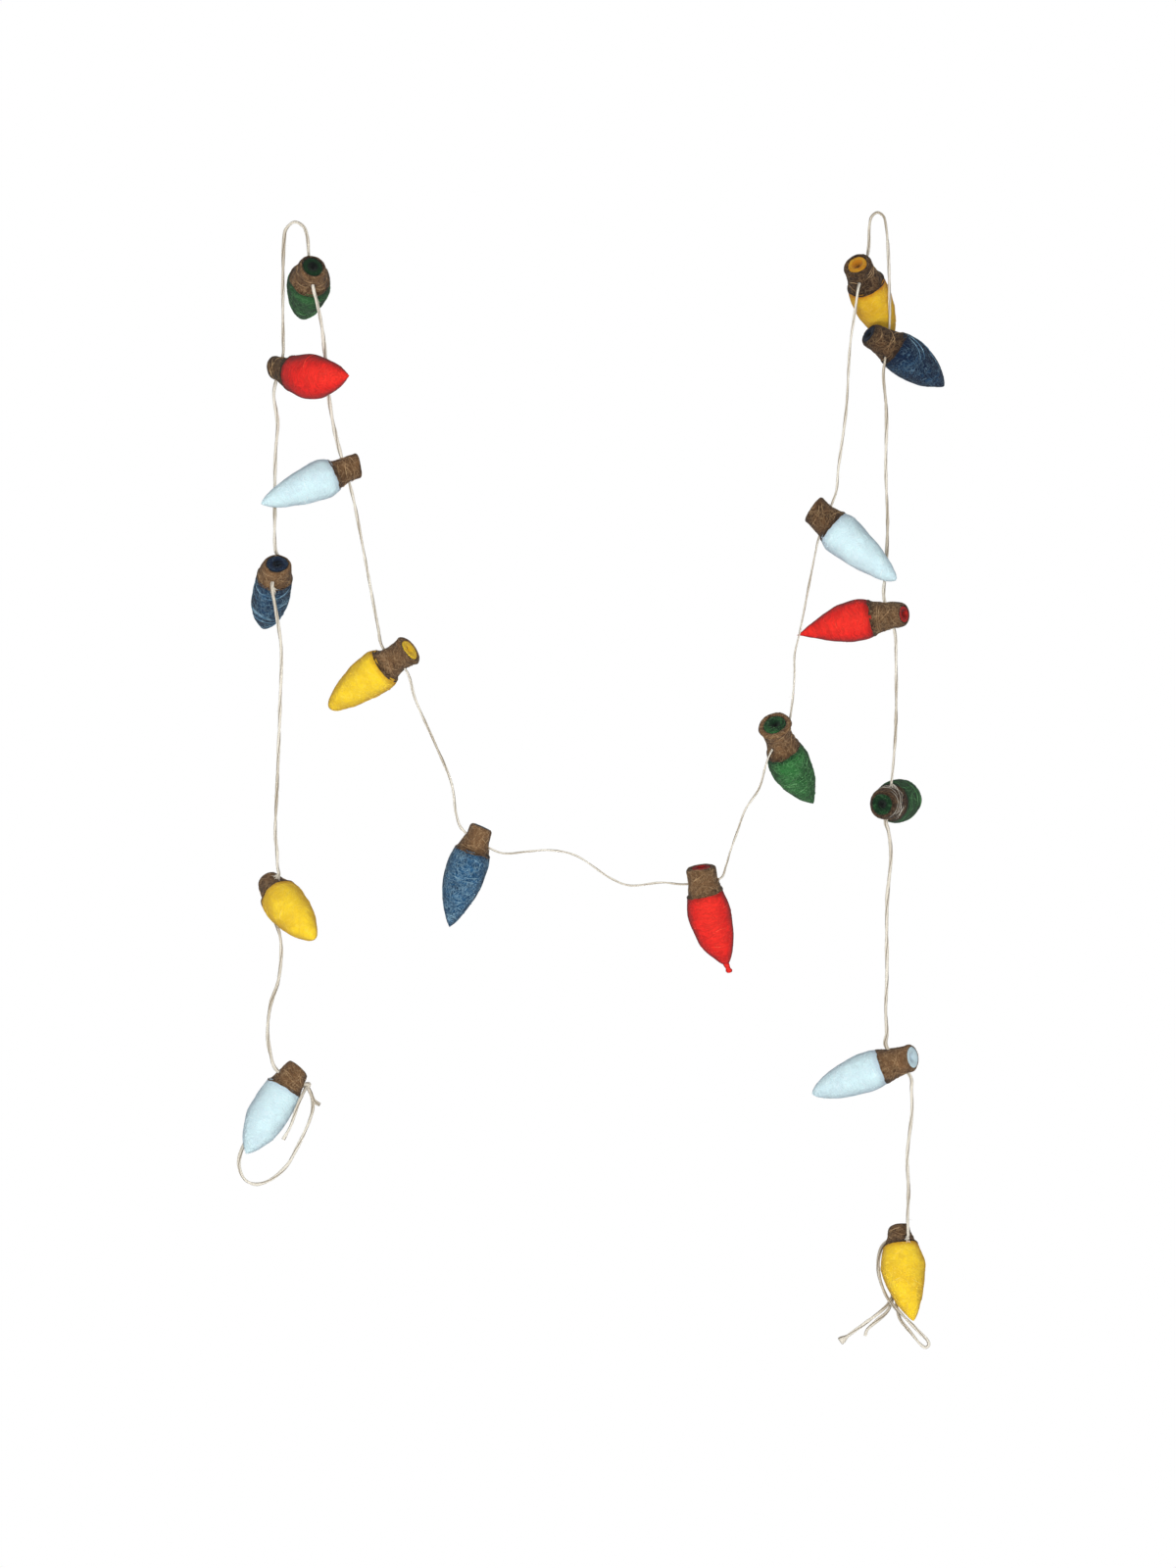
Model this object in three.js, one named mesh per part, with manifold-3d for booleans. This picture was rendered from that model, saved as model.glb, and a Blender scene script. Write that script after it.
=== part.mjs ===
// Felt light bulb garland: wool felt bulbs with brown felt caps, threaded on one jute twine.
// The twine hangs in two long loops over two pegs, and each of its ends is tied off at a bulb.
// Lengths are in millimetres. +X is to the right, +Y away from the viewer and +Z up.
// The origin is the underside of the twine where the left peg carries it.

import * as THREE from "three";
import { mergeVertices } from "three/addons/utils/BufferGeometryUtils.js";
import Module from "manifold-3d";

const wasm = await Module();
wasm.setup();

// Driving dimensions

const TWINE_WIDTH = 1.8;
const TWINE_SIDES = 8;
const KNOT_WIDTH = 3.4;
const KNOT_FLATNESS = 0.85; // height of a knot as a share of its width
const KNOT_SIDES = 10;
const CLEARANCE = 0.3; // between any two pieces that touch
const BORE_LEAD = 1; // the twine runs straight this far past each side of a cap
const FELT_SIDES = 12; // flats round each turned felt form
const DIMPLE_WIDTH = 4; // the hollow in the middle of each cap end
const DIMPLE_DEPTH = 2;
const RIM_ROUNDING = 0.8; // of the cap's end edge
const FACE_FADE = 8; // the slant of a cap's end has died out this far down
const FELT_LUMP = 0.02; // unevenness of the hand-felted forms, as a share of their radius
const BORE_REACH = 30;

// Shape of the felt body, as shares of its own rise and fall
const RISE_STEPS = [0.45];
const FALL_STEPS = [0.3, 0.52, 0.7, 0.85, 0.95];
const NUB_WIDTH = 3.2;

const COLOURS = {
  pale: 0xcde6eb,
  yellow: 0xf8ce2c,
  blue: 0x33597c,
  red: 0xdd2a22,
  green: 0x2f6e3a,
  brown: 0x6e5236,
  jute: 0xc9bc9f,
};

// One row for each bulb, in its order along the twine from the lower left end.
// end and tip: middle of the cap's end and the far tip. bow: how far the middle is bent aside.
// cap: length of the brown cap. rim, waist, neck: its width at the end, the middle and the body.
// core: width of the coloured core in the cap. shoulder, wide: width of the body at the cap and
// at its widest, which lies belly from the cap's end. blunt: fullness of the tip, pointed near 1.
// taper: how full it stays on the way there, a straight cone near 1.
// face, skew: how far the cap's end is cut to a slant, towards the viewer and across the view.
// nub: length of a twisted wisp on the tip.
// boreAt: distance of the twine from the cap's end. bore: the way the twine runs through the cap.
const BULBS = [
  {
    name: "bulb_01", felt: "pale", end: [2, 2, -441], tip: [-25, -6, -485.5], bow: [-0.7, 0, 0.4],
    cap: 12.5, rim: 13, waist: 14.5, neck: 17, core: 9.5, shoulder: 19.4, wide: 21.4, belly: 28,
    blunt: 0.8, taper: 1.9, face: -0.6, skew: 1.1, nub: 0, boreAt: 6.3, bore: [-0.85, -0.25, 0.47],
  },
  {
    name: "bulb_02", felt: "yellow", end: [-14.5, 7, -343], tip: [11.5, -26, -372.9], bow: [-0.6, 0, 0],
    cap: 13.5, rim: 12, waist: 14.5, neck: 17, core: 8.5, shoulder: 20.5, wide: 22.6, belly: 21.5,
    blunt: 0.62, taper: 1.6, face: 0, skew: 0, nub: 0, boreAt: 8, bore: [0.29, -0.52, 0.81],
  },
  {
    name: "bulb_03", felt: "blue", end: [-8.5, -8, -178], tip: [-17.9, 33, -210.5], bow: [0, 0, 0],
    cap: 10, rim: 14.5, waist: 16, neck: 18, core: 11, shoulder: 18.6, wide: 19.4, belly: 27,
    blunt: 0.78, taper: 1.9, face: 0, skew: -0.8, nub: 0, boreAt: 7, bore: [0.15, 0.66, 0.74],
  },
  {
    name: "bulb_04", felt: "red", end: [-11.5, 6, -74.5], tip: [29.8, -27, -81.3], bow: [0, 0, -2.8],
    cap: 13, rim: 12, waist: 13.5, neck: 16, core: 8.5, shoulder: 18, wide: 23, belly: 26,
    blunt: 1, taper: 1.9, face: 0, skew: -0.5, nub: 0, boreAt: 4.2, bore: [0.22, 0.3, 0.93],
  },
  {
    name: "bulb_05", felt: "green", end: [10, -9, -23], tip: [2.4, 33, -45.4], bow: [0, 0, 0],
    cap: 11.5, rim: 14.5, waist: 16.5, neck: 19, core: 10.5, shoulder: 21, wide: 23.3, belly: 18,
    blunt: 0.52, taper: 1.3, face: 0, skew: 0.8, nub: 0, boreAt: 7, bore: [0.14, -0.49, -0.86],
  },
  {
    name: "bulb_06", felt: "pale", end: [33.9, 1.5, -125.8], tip: [-17, -7, -146.7], bow: [0, 0, 0],
    cap: 14, rim: 13, waist: 13, neck: 14.5, core: 8.8, shoulder: 17, wide: 20.9, belly: 20,
    blunt: 0.68, taper: 1.6, face: 0, skew: 1.2, nub: 0, boreAt: 8, bore: [0.28, 0.1, -0.95],
  },
  {
    name: "bulb_07", felt: "yellow", end: [60.4, -4, -222.5], tip: [17.6, 14, -252.8], bow: [-0.5, 0, 0.6],
    cap: 15.5, rim: 16.5, waist: 14.5, neck: 16, core: 11, shoulder: 19, wide: 22.8, belly: 21,
    blunt: 0.52, taper: 1.4, face: 1, skew: 0, nub: 0, boreAt: 10, bore: [0.7, -0.1, -0.7],
  },
  {
    name: "bulb_08", felt: "blue", end: [98, -1, -315], tip: [80.9, 1, -367.5], bow: [-1.2, 0, -0.5],
    cap: 13, rim: 12, waist: 13.5, neck: 17, core: 8.5, shoulder: 18.6, wide: 21.2, belly: 23,
    blunt: 0.92, taper: 1.9, face: 0, skew: 0.6, nub: 0, boreAt: 6.7, bore: [0.83, 0, -0.56],
  },
  {
    name: "bulb_09", felt: "red", end: [212.3, -3, -336], tip: [225.9, 7, -387.5], bow: [-1.9, 0, -0.5],
    cap: 13.5, rim: 15.6, waist: 16, neck: 17, core: 9.5, shoulder: 19.2, wide: 22.6, belly: 26,
    blunt: 0.68, taper: 1.9, face: 0.3, skew: 1, nub: 4.5, boreAt: 7.6, bore: [0.985, 0, 0.17],
  },
  {
    name: "bulb_10", felt: "green", end: [250.5, -9, -261.5], tip: [272, 21, -303], bow: [-2, 0, -0.7],
    cap: 16.2, rim: 18, waist: 14.5, neck: 17.5, core: 11.5, shoulder: 18, wide: 21.8, belly: 26,
    blunt: 0.9, taper: 1.9, face: 2, skew: 0.7, nub: 0, boreAt: 9.6, bore: [0.5, 0.3, 0.81],
  },
  {
    name: "bulb_11", felt: "pale", end: [270.6, 1, -148.6], tip: [314, -6, -186.4], bow: [-0.4, 0, -0.5],
    cap: 14, rim: 15, waist: 15, neck: 17, core: 10, shoulder: 18.3, wide: 21.9, belly: 19.5,
    blunt: 0.56, taper: 1.4, face: 0, skew: -0.8, nub: 0, boreAt: 9.4, bore: [0.36, 0, 0.93],
  },
  {
    name: "bulb_12", felt: "yellow", end: [293.5, -10, -22], tip: [312.4, 23.5, -60], bow: [0, 0, 0],
    cap: 13, rim: 15.5, waist: 15.5, neck: 18.6, core: 10, shoulder: 19.8, wide: 21.2, belly: 22.5,
    blunt: 0.78, taper: 1.9, face: 1.5, skew: -0.7, nub: 0, boreAt: 8, bore: [0.23, 0.67, 0.71],
  },
  {
    name: "bulb_13", felt: "blue", end: [299.7, -5, -58], tip: [340, 9, -84.2], bow: [0.3, 0, 1.5],
    cap: 15.5, rim: 13, waist: 14.5, neck: 18, core: 9.5, shoulder: 19.4, wide: 22, belly: 25,
    blunt: 0.8, taper: 1.9, face: 0.8, skew: 0, nub: 0, boreAt: 12, bore: [-0.14, -0.45, -0.88],
  },
  {
    name: "bulb_14", felt: "red", end: [318.5, -3, -204], tip: [262.5, 4, -215], bow: [0, 0, 1.7],
    cap: 17, rim: 12.5, waist: 14.5, neck: 17, core: 8.7, shoulder: 18.4, wide: 22, belly: 24,
    blunt: 1.2, taper: 1.9, face: 3, skew: 0.5, nub: 0, boreAt: 8, bore: [0.3, 0, -0.95],
  },
  {
    name: "bulb_15", felt: "green", end: [306.4, -9, -303.3], tip: [325.8, 41, -299.8], bow: [0, 0, 0],
    cap: 14, rim: 14.2, waist: 16.3, neck: 18, core: 11, shoulder: 18.4, wide: 22.4, belly: 26,
    blunt: 0.7, taper: 1.9, face: 0, skew: 0, nub: 0, boreAt: 11, bore: [-0.15, -0.1, -0.98],
  },
  {
    name: "bulb_16", felt: "pale", end: [322.8, -3, -435.3], tip: [270.6, 4, -454.8], bow: [0, 0, 0.9],
    cap: 16.5, rim: 14, waist: 15, neck: 19.5, core: 11, shoulder: 18.4, wide: 21, belly: 24,
    blunt: 0.68, taper: 1.9, face: 3.2, skew: 0.8, nub: 0, boreAt: 8, bore: [0.61, 0, -0.79],
  },
  {
    name: "bulb_17", felt: "yellow", end: [316.3, 8, -524], tip: [322.8, -10, -572.3], bow: [-1.3, 0, 0],
    cap: 10.5, rim: 11, waist: 13, neck: 15, core: 7.5, shoulder: 18, wide: 23.5, belly: 23,
    blunt: 0.78, taper: 1.5, face: 0, skew: 0, nub: 0, boreAt: 6.3, bore: [-0.45, 0.88, -0.1],
  },
];

// Points of the twine between each bulb and the next
const STRANDS = [
  [[-12.5, -1.5, -433.5], [-14, -1, -423], [-12.5, 0, -408], [-8.4, 1.5, -395], [-7.2, 3, -376],
    [-9.5, 5, -366.5], [-13, 7.5, -359.5]],
  [[-8.8, -1.5, -336], [-9.1, -1, -328], [-10, 0, -319], [-9, 0, -292], [-7.5, 0, -250],
    [-6.9, -1, -222], [-8.4, -2.5, -209.5], [-10, -5, -199]],
  [[-10, 4, -171], [-10.5, 3.5, -149.5], [-10, 2.5, -119], [-8.9, 1.5, -104], [-10.8, 0, -90]],
  [[-6.1, 3.5, -61], [-6.1, 0.5, -40], [-5.4, 0, -8], [-4.4, 0, -2.8], [0, 0, 0.9],
    [4.6, 0, -1.4], [6.6, 0.2, -6.5]],
  [[11.6, -5, -40], [14.4, -3, -54], [16.4, -0.5, -73], [17.7, -0.3, -88.5], [20.5, 0, -106]],
  [[31, 1, -145], [36.5, 0, -173], [43.5, 0.3, -210]],
  [[63, -1.5, -248], [73.4, -0.5, -271.5], [82.2, 0, -293], [84.6, -0.6, -309]],
  [[109.7, -0.5, -329], [122, 0, -328], [133.5, 0, -327.3], [146.7, 0, -330], [165.6, 0, -342.2],
    [175, 0, -345.7], [192, 0, -344.2]],
  [[225.4, -1.5, -335.5], [227.6, -1.5, -328], [231.2, -2, -317.8], [235.5, -3, -306],
    [242.6, -5.5, -295], [246, -7.5, -283]],
  [[259.8, -0.3, -252], [261.2, 0, -236.5], [261.3, -0.5, -225], [263.8, -1, -214],
    [271.9, -0.5, -173]],
  [[283.2, -0.2, -139], [284, 0, -129], [288, -3.5, -98], [290, -6.5, -64], [292.8, -9.2, -44]],
  [[300, 0.3, -12], [300.4, 0, -1], [301.6, 0, 3.8], [304.6, 0, 5.9], [307.7, 0, 3.9],
    [309, -0.5, -1.5], [310, -2.4, -14], [310.7, -3.8, -40]],
  [[307.3, -7.5, -79], [309.1, -2, -98], [309, 1.5, -129], [310, 3.4, -156], [309.2, 3.2, -180]],
  [[314.1, -2, -225], [314.1, -1, -262], [313.2, 0.5, -278]],
  [[310.2, 0, -317], [311.6, 0, -329], [309.6, 0, -354], [309.4, -1, -395], [308.8, -1.5, -410.5],
    [309.3, -2, -423]],
  [[322.2, -2, -452], [322.5, -2, -463], [320, -2, -487.5], [320.7, -2.2, -505],
    [320.1, -3.4, -519], [320.4, -3.6, -526]],
];

// The tied ends: a hang loop and two cut ends of the twine at each knot
const LEFT_LOOP = [
  [8.8, 2.8, -456], [9.5, 2, -461.7], [7.9, 1.5, -468.3], [0.8, 1, -483.7], [-4.2, 1, -492.3],
  [-13, 2, -499.8], [-20.5, 2.6, -502], [-26.2, 3, -499.5], [-29.2, 3.8, -492.5],
  [-28.2, 5.4, -485], [-19, 10.5, -467.5], [-11, 12, -459], [-2, 10.5, -453.5], [4, 7.5, -451],
];
const LEFT_TAIL = [[4, -4, -455.5], [1.8, -6.5, -460.6], [-1.7, -6.2, -470.9], [-5.6, -5.2, -478.1]];
const LEFT_STUB = [[8.2, 3, -453.8], [10.4, 2.2, -458.6], [13.2, 1.6, -460.4]];
const RIGHT_LOOP = [
  [308.2, 13, -534.5], [305.9, 10.5, -540], [305.4, 8, -547.2], [307.1, 6, -555], [310.3, 4, -562],
  [318.4, 1.5, -571], [326.8, 0.4, -579.4], [330.8, 0.2, -583.6], [331.4, 0.4, -585.8],
  [329.7, 0.9, -587.2], [327.4, 1.4, -585.8], [322.2, 2.8, -579.6], [316.6, 5, -572.5],
  [314.8, 8.4, -564.5], [314.6, 12.4, -553], [313.6, 14.8, -539],
];
const RIGHT_TAIL_LONG = [
  [316, 15.8, -539], [316, 14.5, -550], [314.4, 12.8, -558], [310.4, 8.5, -565.4],
  [298.4, 6, -575], [293.4, 5, -578.5], [285.2, 4, -584.3],
];
const RIGHT_TAIL_SHORT = [
  [311.6, 16, -538], [312.4, 15.5, -552], [313, 12.6, -562.5], [310.4, 10.4, -569],
  [304.8, 8, -573.8], [299.4, 6.4, -578.6], [298.4, 6, -581.6],
];

// Vectors and solids

function vector([x, y, z]) {
  return new THREE.Vector3(x, y, z);
}

function solidOf(geometry) {
  const bare = geometry.clone();
  for (const name of ["normal", "uv"]) bare.deleteAttribute(name);
  const merged = mergeVertices(bare, 1e-3);
  return new wasm.Manifold(
    new wasm.Mesh({
      numProp: 3,
      vertProperties: merged.attributes.position.array,
      triVerts: new Uint32Array(merged.index.array),
    }),
  );
}

function geometryOf(solid) {
  const { numProp, vertProperties, triVerts } = solid.getMesh();
  const corners = new THREE.InterleavedBuffer(vertProperties, numProp);
  const geometry = new THREE.BufferGeometry();
  geometry.setAttribute("position", new THREE.InterleavedBufferAttribute(corners, 3, 0));
  geometry.setIndex(new THREE.BufferAttribute(triVerts, 1));
  const flat = geometry.toNonIndexed();
  flat.computeVertexNormals();
  return flat;
}

function feltMaterial(colour) {
  return new THREE.MeshStandardMaterial({ color: COLOURS[colour], roughness: 0.95, metalness: 0 });
}

function namedMesh(name, solid, material) {
  const mesh = new THREE.Mesh(geometryOf(solid), material);
  mesh.name = name;
  return mesh;
}

// Where a bulb lies

// A bulb's own frame: x towards the viewer, y from the cap's end to the tip.
function bulbPlace(row) {
  const end = vector(row.end);
  const along = vector(row.tip).sub(end);
  const length = along.length();
  along.normalize();
  const toViewer = new THREE.Vector3(0, -1, 0);
  toViewer.addScaledVector(along, -toViewer.dot(along)).normalize();
  const side = toViewer.clone().cross(along);
  const basis = new THREE.Matrix4().makeBasis(toViewer, along, side);
  const turn = new THREE.Quaternion().setFromRotationMatrix(basis);
  return { end, along, length, turn, unturn: turn.clone().invert() };
}

function bowShare(distance, length) {
  const share = distance / length;
  return 4 * share * (1 - share);
}

function boreCentre(row, place) {
  return place.end
    .clone()
    .addScaledVector(place.along, row.boreAt)
    .addScaledVector(vector(row.bow), bowShare(row.boreAt, place.length));
}

// The twine's point this far from the middle of the bore, along the way it runs
function besideBore(row, reach) {
  return boreCentre(row, bulbPlace(row)).addScaledVector(vector(row.bore).normalize(), reach);
}

// Where the twine enters and leaves a cap, a little past its sides
function boreEnds(row) {
  const reach = row.neck / 2 + BORE_LEAD;
  return [besideBore(row, -reach), besideBore(row, reach)];
}

// Middle of the knot that stops a bulb, resting on the side of its cap
function knotReach(row) {
  return row.waist / 2 + CLEARANCE + KNOT_WIDTH / 2;
}

// Felt forms

// Turns a profile of [radius, distance from the cap's end] and gives it the bulb's own
// bend, slanted end and hand-made lumps.
function turnedFelt(row, place, profile) {
  const outline = profile.map(([radius, distance]) => new THREE.Vector2(radius, distance));
  const geometry = new THREE.LatheGeometry(outline, FELT_SIDES);
  const phase = BULBS.indexOf(row) * 1.7;
  const bow = vector(row.bow).applyQuaternion(place.unturn);
  const points = geometry.attributes.position;
  const point = new THREE.Vector3();
  for (let i = 0; i < points.count; i++) {
    point.fromBufferAttribute(points, i);
    const distance = point.y;
    const angle = Math.atan2(point.z, point.x);
    const lump = 0.6 * Math.sin(2 * angle + phase) + 0.4 * Math.sin(3 * angle - phase);
    const swell = 1 + FELT_LUMP * lump;
    const fade = Math.max(0, 1 - distance / FACE_FADE);
    const slant = ((row.face * point.x + row.skew * point.z) * fade) / (row.rim / 2);
    point.set(point.x * swell, distance + slant, point.z * swell);
    point.addScaledVector(bow, bowShare(distance, place.length));
    points.setXYZ(i, point.x, point.y, point.z);
  }
  return solidOf(geometry);
}

function bodyProfile(row, length) {
  const core = row.core / 2;
  const shoulder = row.shoulder / 2;
  const widest = row.wide / 2;
  const profile = [
    [0, DIMPLE_DEPTH],
    [DIMPLE_WIDTH / 2, 0],
    [core, 0],
    [core, row.cap],
    [shoulder, row.cap],
  ];
  for (const step of RISE_STEPS) {
    const radius = shoulder + (widest - shoulder) * Math.sin((step * Math.PI) / 2);
    profile.push([radius, row.cap + (row.belly - row.cap) * step]);
  }
  profile.push([widest, row.belly]);
  const least = row.nub > 0 ? NUB_WIDTH / 2 : 0;
  for (const step of FALL_STEPS) {
    const radius = widest * (1 - step ** row.taper) ** row.blunt;
    profile.push([Math.max(radius, least), row.belly + (length - row.belly) * step]);
  }
  if (row.nub > 0) {
    profile.push([least * 0.8, length]);
    profile.push([least, length + row.nub * 0.7]);
  }
  profile.push([0, length + row.nub]);
  return profile;
}

function capProfile(row) {
  const rim = row.rim / 2;
  const neck = row.neck / 2;
  const inside = row.core / 2 + CLEARANCE;
  const seat = row.cap - CLEARANCE;
  const profile = [
    [rim - RIM_ROUNDING, 0],
    [rim, RIM_ROUNDING],
    [row.waist / 2, row.cap / 2],
    [neck, seat - RIM_ROUNDING],
    [neck - RIM_ROUNDING, seat],
    [inside, seat],
    [inside, 0],
  ];
  profile.push(profile[0]);
  return profile;
}

// The straight hole that the twine takes through the cap and the core
function boreSolid(row, place) {
  const radius = TWINE_WIDTH / 2 + CLEARANCE;
  const hole = new THREE.CylinderGeometry(radius, radius, BORE_REACH, TWINE_SIDES);
  const way = vector(row.bore).normalize().applyQuaternion(place.unturn);
  const turn = new THREE.Quaternion().setFromUnitVectors(new THREE.Vector3(0, 1, 0), way);
  const centre = boreCentre(row, place).sub(place.end).applyQuaternion(place.unturn);
  hole.applyQuaternion(turn);
  hole.translate(centre.x, centre.y, centre.z);
  return solidOf(hole);
}

function bulb(row) {
  const place = bulbPlace(row);
  const bore = boreSolid(row, place);
  const body = turnedFelt(row, place, bodyProfile(row, place.length)).subtract(bore);
  const cap = turnedFelt(row, place, capProfile(row)).subtract(bore);
  const group = new THREE.Group();
  group.position.copy(place.end);
  group.quaternion.copy(place.turn);
  group.add(
    namedMesh(row.name + "_body", body, feltMaterial(row.felt)),
    namedMesh(row.name + "_cap", cap, feltMaterial("brown")),
  );
  return group;
}

// Twine

// A smooth curve whose steps fall on its own points, close in the bends and far between them.
class TwineCurve extends THREE.CatmullRomCurve3 {
  getPointAt(share, target) {
    return this.getPoint(share, target);
  }

  getTangentAt(share, target) {
    return this.getTangent(share, target);
  }
}

function twineSection() {
  const corners = [];
  for (let i = 0; i < TWINE_SIDES; i++) {
    const angle = (i * 2 * Math.PI) / TWINE_SIDES;
    corners.push(new THREE.Vector2(Math.cos(angle), Math.sin(angle)).multiplyScalar(TWINE_WIDTH / 2));
  }
  return new THREE.Shape(corners);
}

function twineSolid(points) {
  const extrudePath = new TwineCurve(points);
  const settings = { steps: points.length - 1, extrudePath, bevelEnabled: false };
  return solidOf(new THREE.ExtrudeGeometry(twineSection(), settings));
}

function knotSolid(centre) {
  const knot = new THREE.SphereGeometry(KNOT_WIDTH / 2, KNOT_SIDES, KNOT_SIDES / 2);
  knot.scale(1, KNOT_FLATNESS, 1);
  knot.translate(centre.x, centre.y, centre.z);
  return solidOf(knot);
}

// All of the twine's points, from the knot at the first bulb to the knot at the last
function garlandRoute() {
  const route = BULBS.flatMap((row, i) => [...boreEnds(row), ...(STRANDS[i] ?? []).map(vector)]);
  const last = BULBS.at(-1);
  route[0] = besideBore(BULBS[0], -knotReach(BULBS[0]));
  route[route.length - 1] = besideBore(last, knotReach(last));
  return route;
}

function twine() {
  const route = garlandRoute();
  const leftKnot = route[0];
  const rightKnot = route.at(-1);
  const pieces = [
    knotSolid(leftKnot),
    knotSolid(rightKnot),
    twineSolid([leftKnot, ...LEFT_LOOP.map(vector), leftKnot]),
    twineSolid([leftKnot, ...LEFT_TAIL.map(vector)]),
    twineSolid([leftKnot, ...LEFT_STUB.map(vector)]),
    twineSolid([rightKnot, ...RIGHT_LOOP.map(vector), rightKnot]),
    twineSolid([rightKnot, ...RIGHT_TAIL_LONG.map(vector)]),
    twineSolid([rightKnot, ...RIGHT_TAIL_SHORT.map(vector)]),
  ];
  const whole = pieces.reduce((solid, piece) => solid.add(piece), twineSolid(route));
  const jute = new THREE.MeshStandardMaterial({ color: COLOURS.jute, roughness: 0.9, metalness: 0 });
  return namedMesh("twine", whole, jute);
}

const garland = new THREE.Group();
garland.add(...BULBS.map(bulb), twine());

export default garland;
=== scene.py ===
"""Dressed model of a felt light bulb garland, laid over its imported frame.

Wool felt bulbs with brown felt caps are threaded on one jute twine, which hangs in two long
loops from two pegs. Each of its ends is tied off at a bulb with a knot, a hang loop and two cut
ends. Lengths are in metres and angles in radians. +X is right, +Y away from the viewer, +Z up.
"""

import logging
import math
import random
from collections.abc import Sequence
from dataclasses import dataclass
from enum import Enum
from typing import Any

import bmesh
import bpy
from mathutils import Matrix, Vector, noise


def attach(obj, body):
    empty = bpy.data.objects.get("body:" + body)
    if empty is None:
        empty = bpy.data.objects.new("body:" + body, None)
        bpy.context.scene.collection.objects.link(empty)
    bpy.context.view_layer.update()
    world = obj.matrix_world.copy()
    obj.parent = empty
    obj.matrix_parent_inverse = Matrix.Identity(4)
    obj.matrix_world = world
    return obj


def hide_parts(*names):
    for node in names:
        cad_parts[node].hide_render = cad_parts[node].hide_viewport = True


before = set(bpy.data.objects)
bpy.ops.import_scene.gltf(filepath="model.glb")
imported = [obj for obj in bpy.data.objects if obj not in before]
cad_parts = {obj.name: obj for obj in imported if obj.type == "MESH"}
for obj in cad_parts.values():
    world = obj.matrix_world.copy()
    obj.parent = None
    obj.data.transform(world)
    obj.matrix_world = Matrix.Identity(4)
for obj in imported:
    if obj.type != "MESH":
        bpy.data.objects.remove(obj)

LOG = logging.getLogger("garland")
TURN = 2 * math.pi
Triple = tuple[float, float, float]
Colour = tuple[float, float, float, float]
Inputs = dict[str | int, Any]
Node = bpy.types.Node
Socket = bpy.types.NodeSocket
Tree = bpy.types.NodeTree
Piece = bpy.types.Object

# Twine

TWINE_WIDTH = 0.0018
TWINE_PITCH = 0.046  # one full turn of its two plies
TWINE_STEP = 0.0007  # between two rings of the twine's mesh
TWINE_SIDES = 12
LOOSE_END_GIRTH = 0.92  # share of the usual width
FRAYED_LENGTH = 0.005  # of a cut end that opens out
TWINE_UNEVEN = (95.0, 0.85, 1.18)  # noise cells in a metre, and the least and greatest width
TWINE_PLIES = (0.78, 1.1)  # width across the groove and across the plies
FRAY_WIDTH = 0.00045
FRAY_SPREAD = 0.0006  # a tuft's strands start within this distance of the bore's end
FRAY_LEAN = 0.5  # the most that a strand strays from its tuft's way
FRAY_CURL = 0.0012
FRAY_REACH = (0.5, 1.0)  # shares of the tuft's length
FRAY_STEPS = 6
KNOT_RADIUS = 0.00175
KNOT_LOBES = 3.9  # reach of the knot's curve before it is scaled
KNOT_DEPTH = 1.3
KNOT_STEPS = 54
CLEARANCE = 0.0003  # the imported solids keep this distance
BORE_LEAD = 0.001  # the twine leaves a cap straight for this far

# Felt

FELT_SEGMENTS = 72
RISE_RINGS = 14
FALL_RINGS = 30
CAP_RINGS = 20
FELT_LUMP = 0.02  # share of the radius
LUMP_SHARES = (0.6, 0.4)  # of the two and of the three lumps round a bulb
LUMP_SHIFT = 1.7  # turn between the lumps of one bulb and those of the next
SEED_STEP = 10  # between one bulb and the next
COARSE_RELIEF = (130.0, 0.00045)  # noise cells in a metre, and height
FINE_RELIEF = (420.0, 0.00016)
POINTED = 0.003  # the relief fades out where the radius is below this
FACE_FADE = 0.008  # the slant of the cap's end dies out over this distance
DIMPLE_RADIUS = 0.002
DIMPLE_DEPTH = 0.002
DIMPLE = ((0.0, 1.0), (0.35, 0.92), (0.62, 0.6), (0.95, 0.22), (1.3, 0.06))  # shares of both
DISC = (0.55, 0.7, 0.85, 0.96)  # shares of the core's radius
DISC_MARGIN = 0.0004  # the disc's shade reaches this far past the core
DISC_SHADE_DEPTH = 0.004
CORE_ROUNDING = 0.00051
CORE_GAP = 0.00009  # between the core and the cap round it
SHOULDER_START = 0.8  # share of the shoulder's radius where the body's end begins
RIM_ROUNDING = 0.0017
INNER_EDGE = ((0.0, 0.5), (0.0003, 0.05))  # distance out from the core, and share of the rounding
RIM = (0.0, 0.3, 0.6, 0.85)  # shares of a quarter turn
LIP_LENGTH = 0.001  # the cap's thin edge runs this far down over the body
LIP = ((0.2, 0.0002), (0.6, 0.00014), (0.9, 0.00008), (1.0, 0.0))  # share of that, and height
LIP_SUNK = 0.0008  # the lip's back lies this deep in the body
LIP_BACK = 0.6  # share of the lip's length
LIP_WANDER = 0.0007
WANDER_WAVES = ((1.0, 1.4), (3.0, 0.5))  # noise scale and height
WANDER_TURN = 1.6  # how fast the noise changes round the bulb
WANDER_SHIFT = 3.1  # between one bulb and the next
WANDER_START = 0.6  # share of the cap's length that stays straight
SLEEVE_END = 0.001  # the cap's inner side ends this far from its lower edge
NUB_RADIUS = 0.0016
NUB = ((0.15, 0.9), (0.4, 0.75), (0.7, 1.15), (0.9, 0.9))  # shares of its length and radius
PIT_RADIUS = 0.0014  # where the twine goes into a cap
PIT_DEPTH = 0.0007
PIT_START = 0.004  # from the middle of the bore
PIT_SHADOW = 0.75
HOLLOW_SHADOW = 2.2
HOLLOW_REACH = 1.7  # of the dimple's radius
SEAM_WIDTH = 0.0018
SEAM_SHADOW = 0.45
FELT_SHEEN = 0.08
FIBRE_LIFT = 0.00008
FIBRE_POINTS = 7
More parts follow.
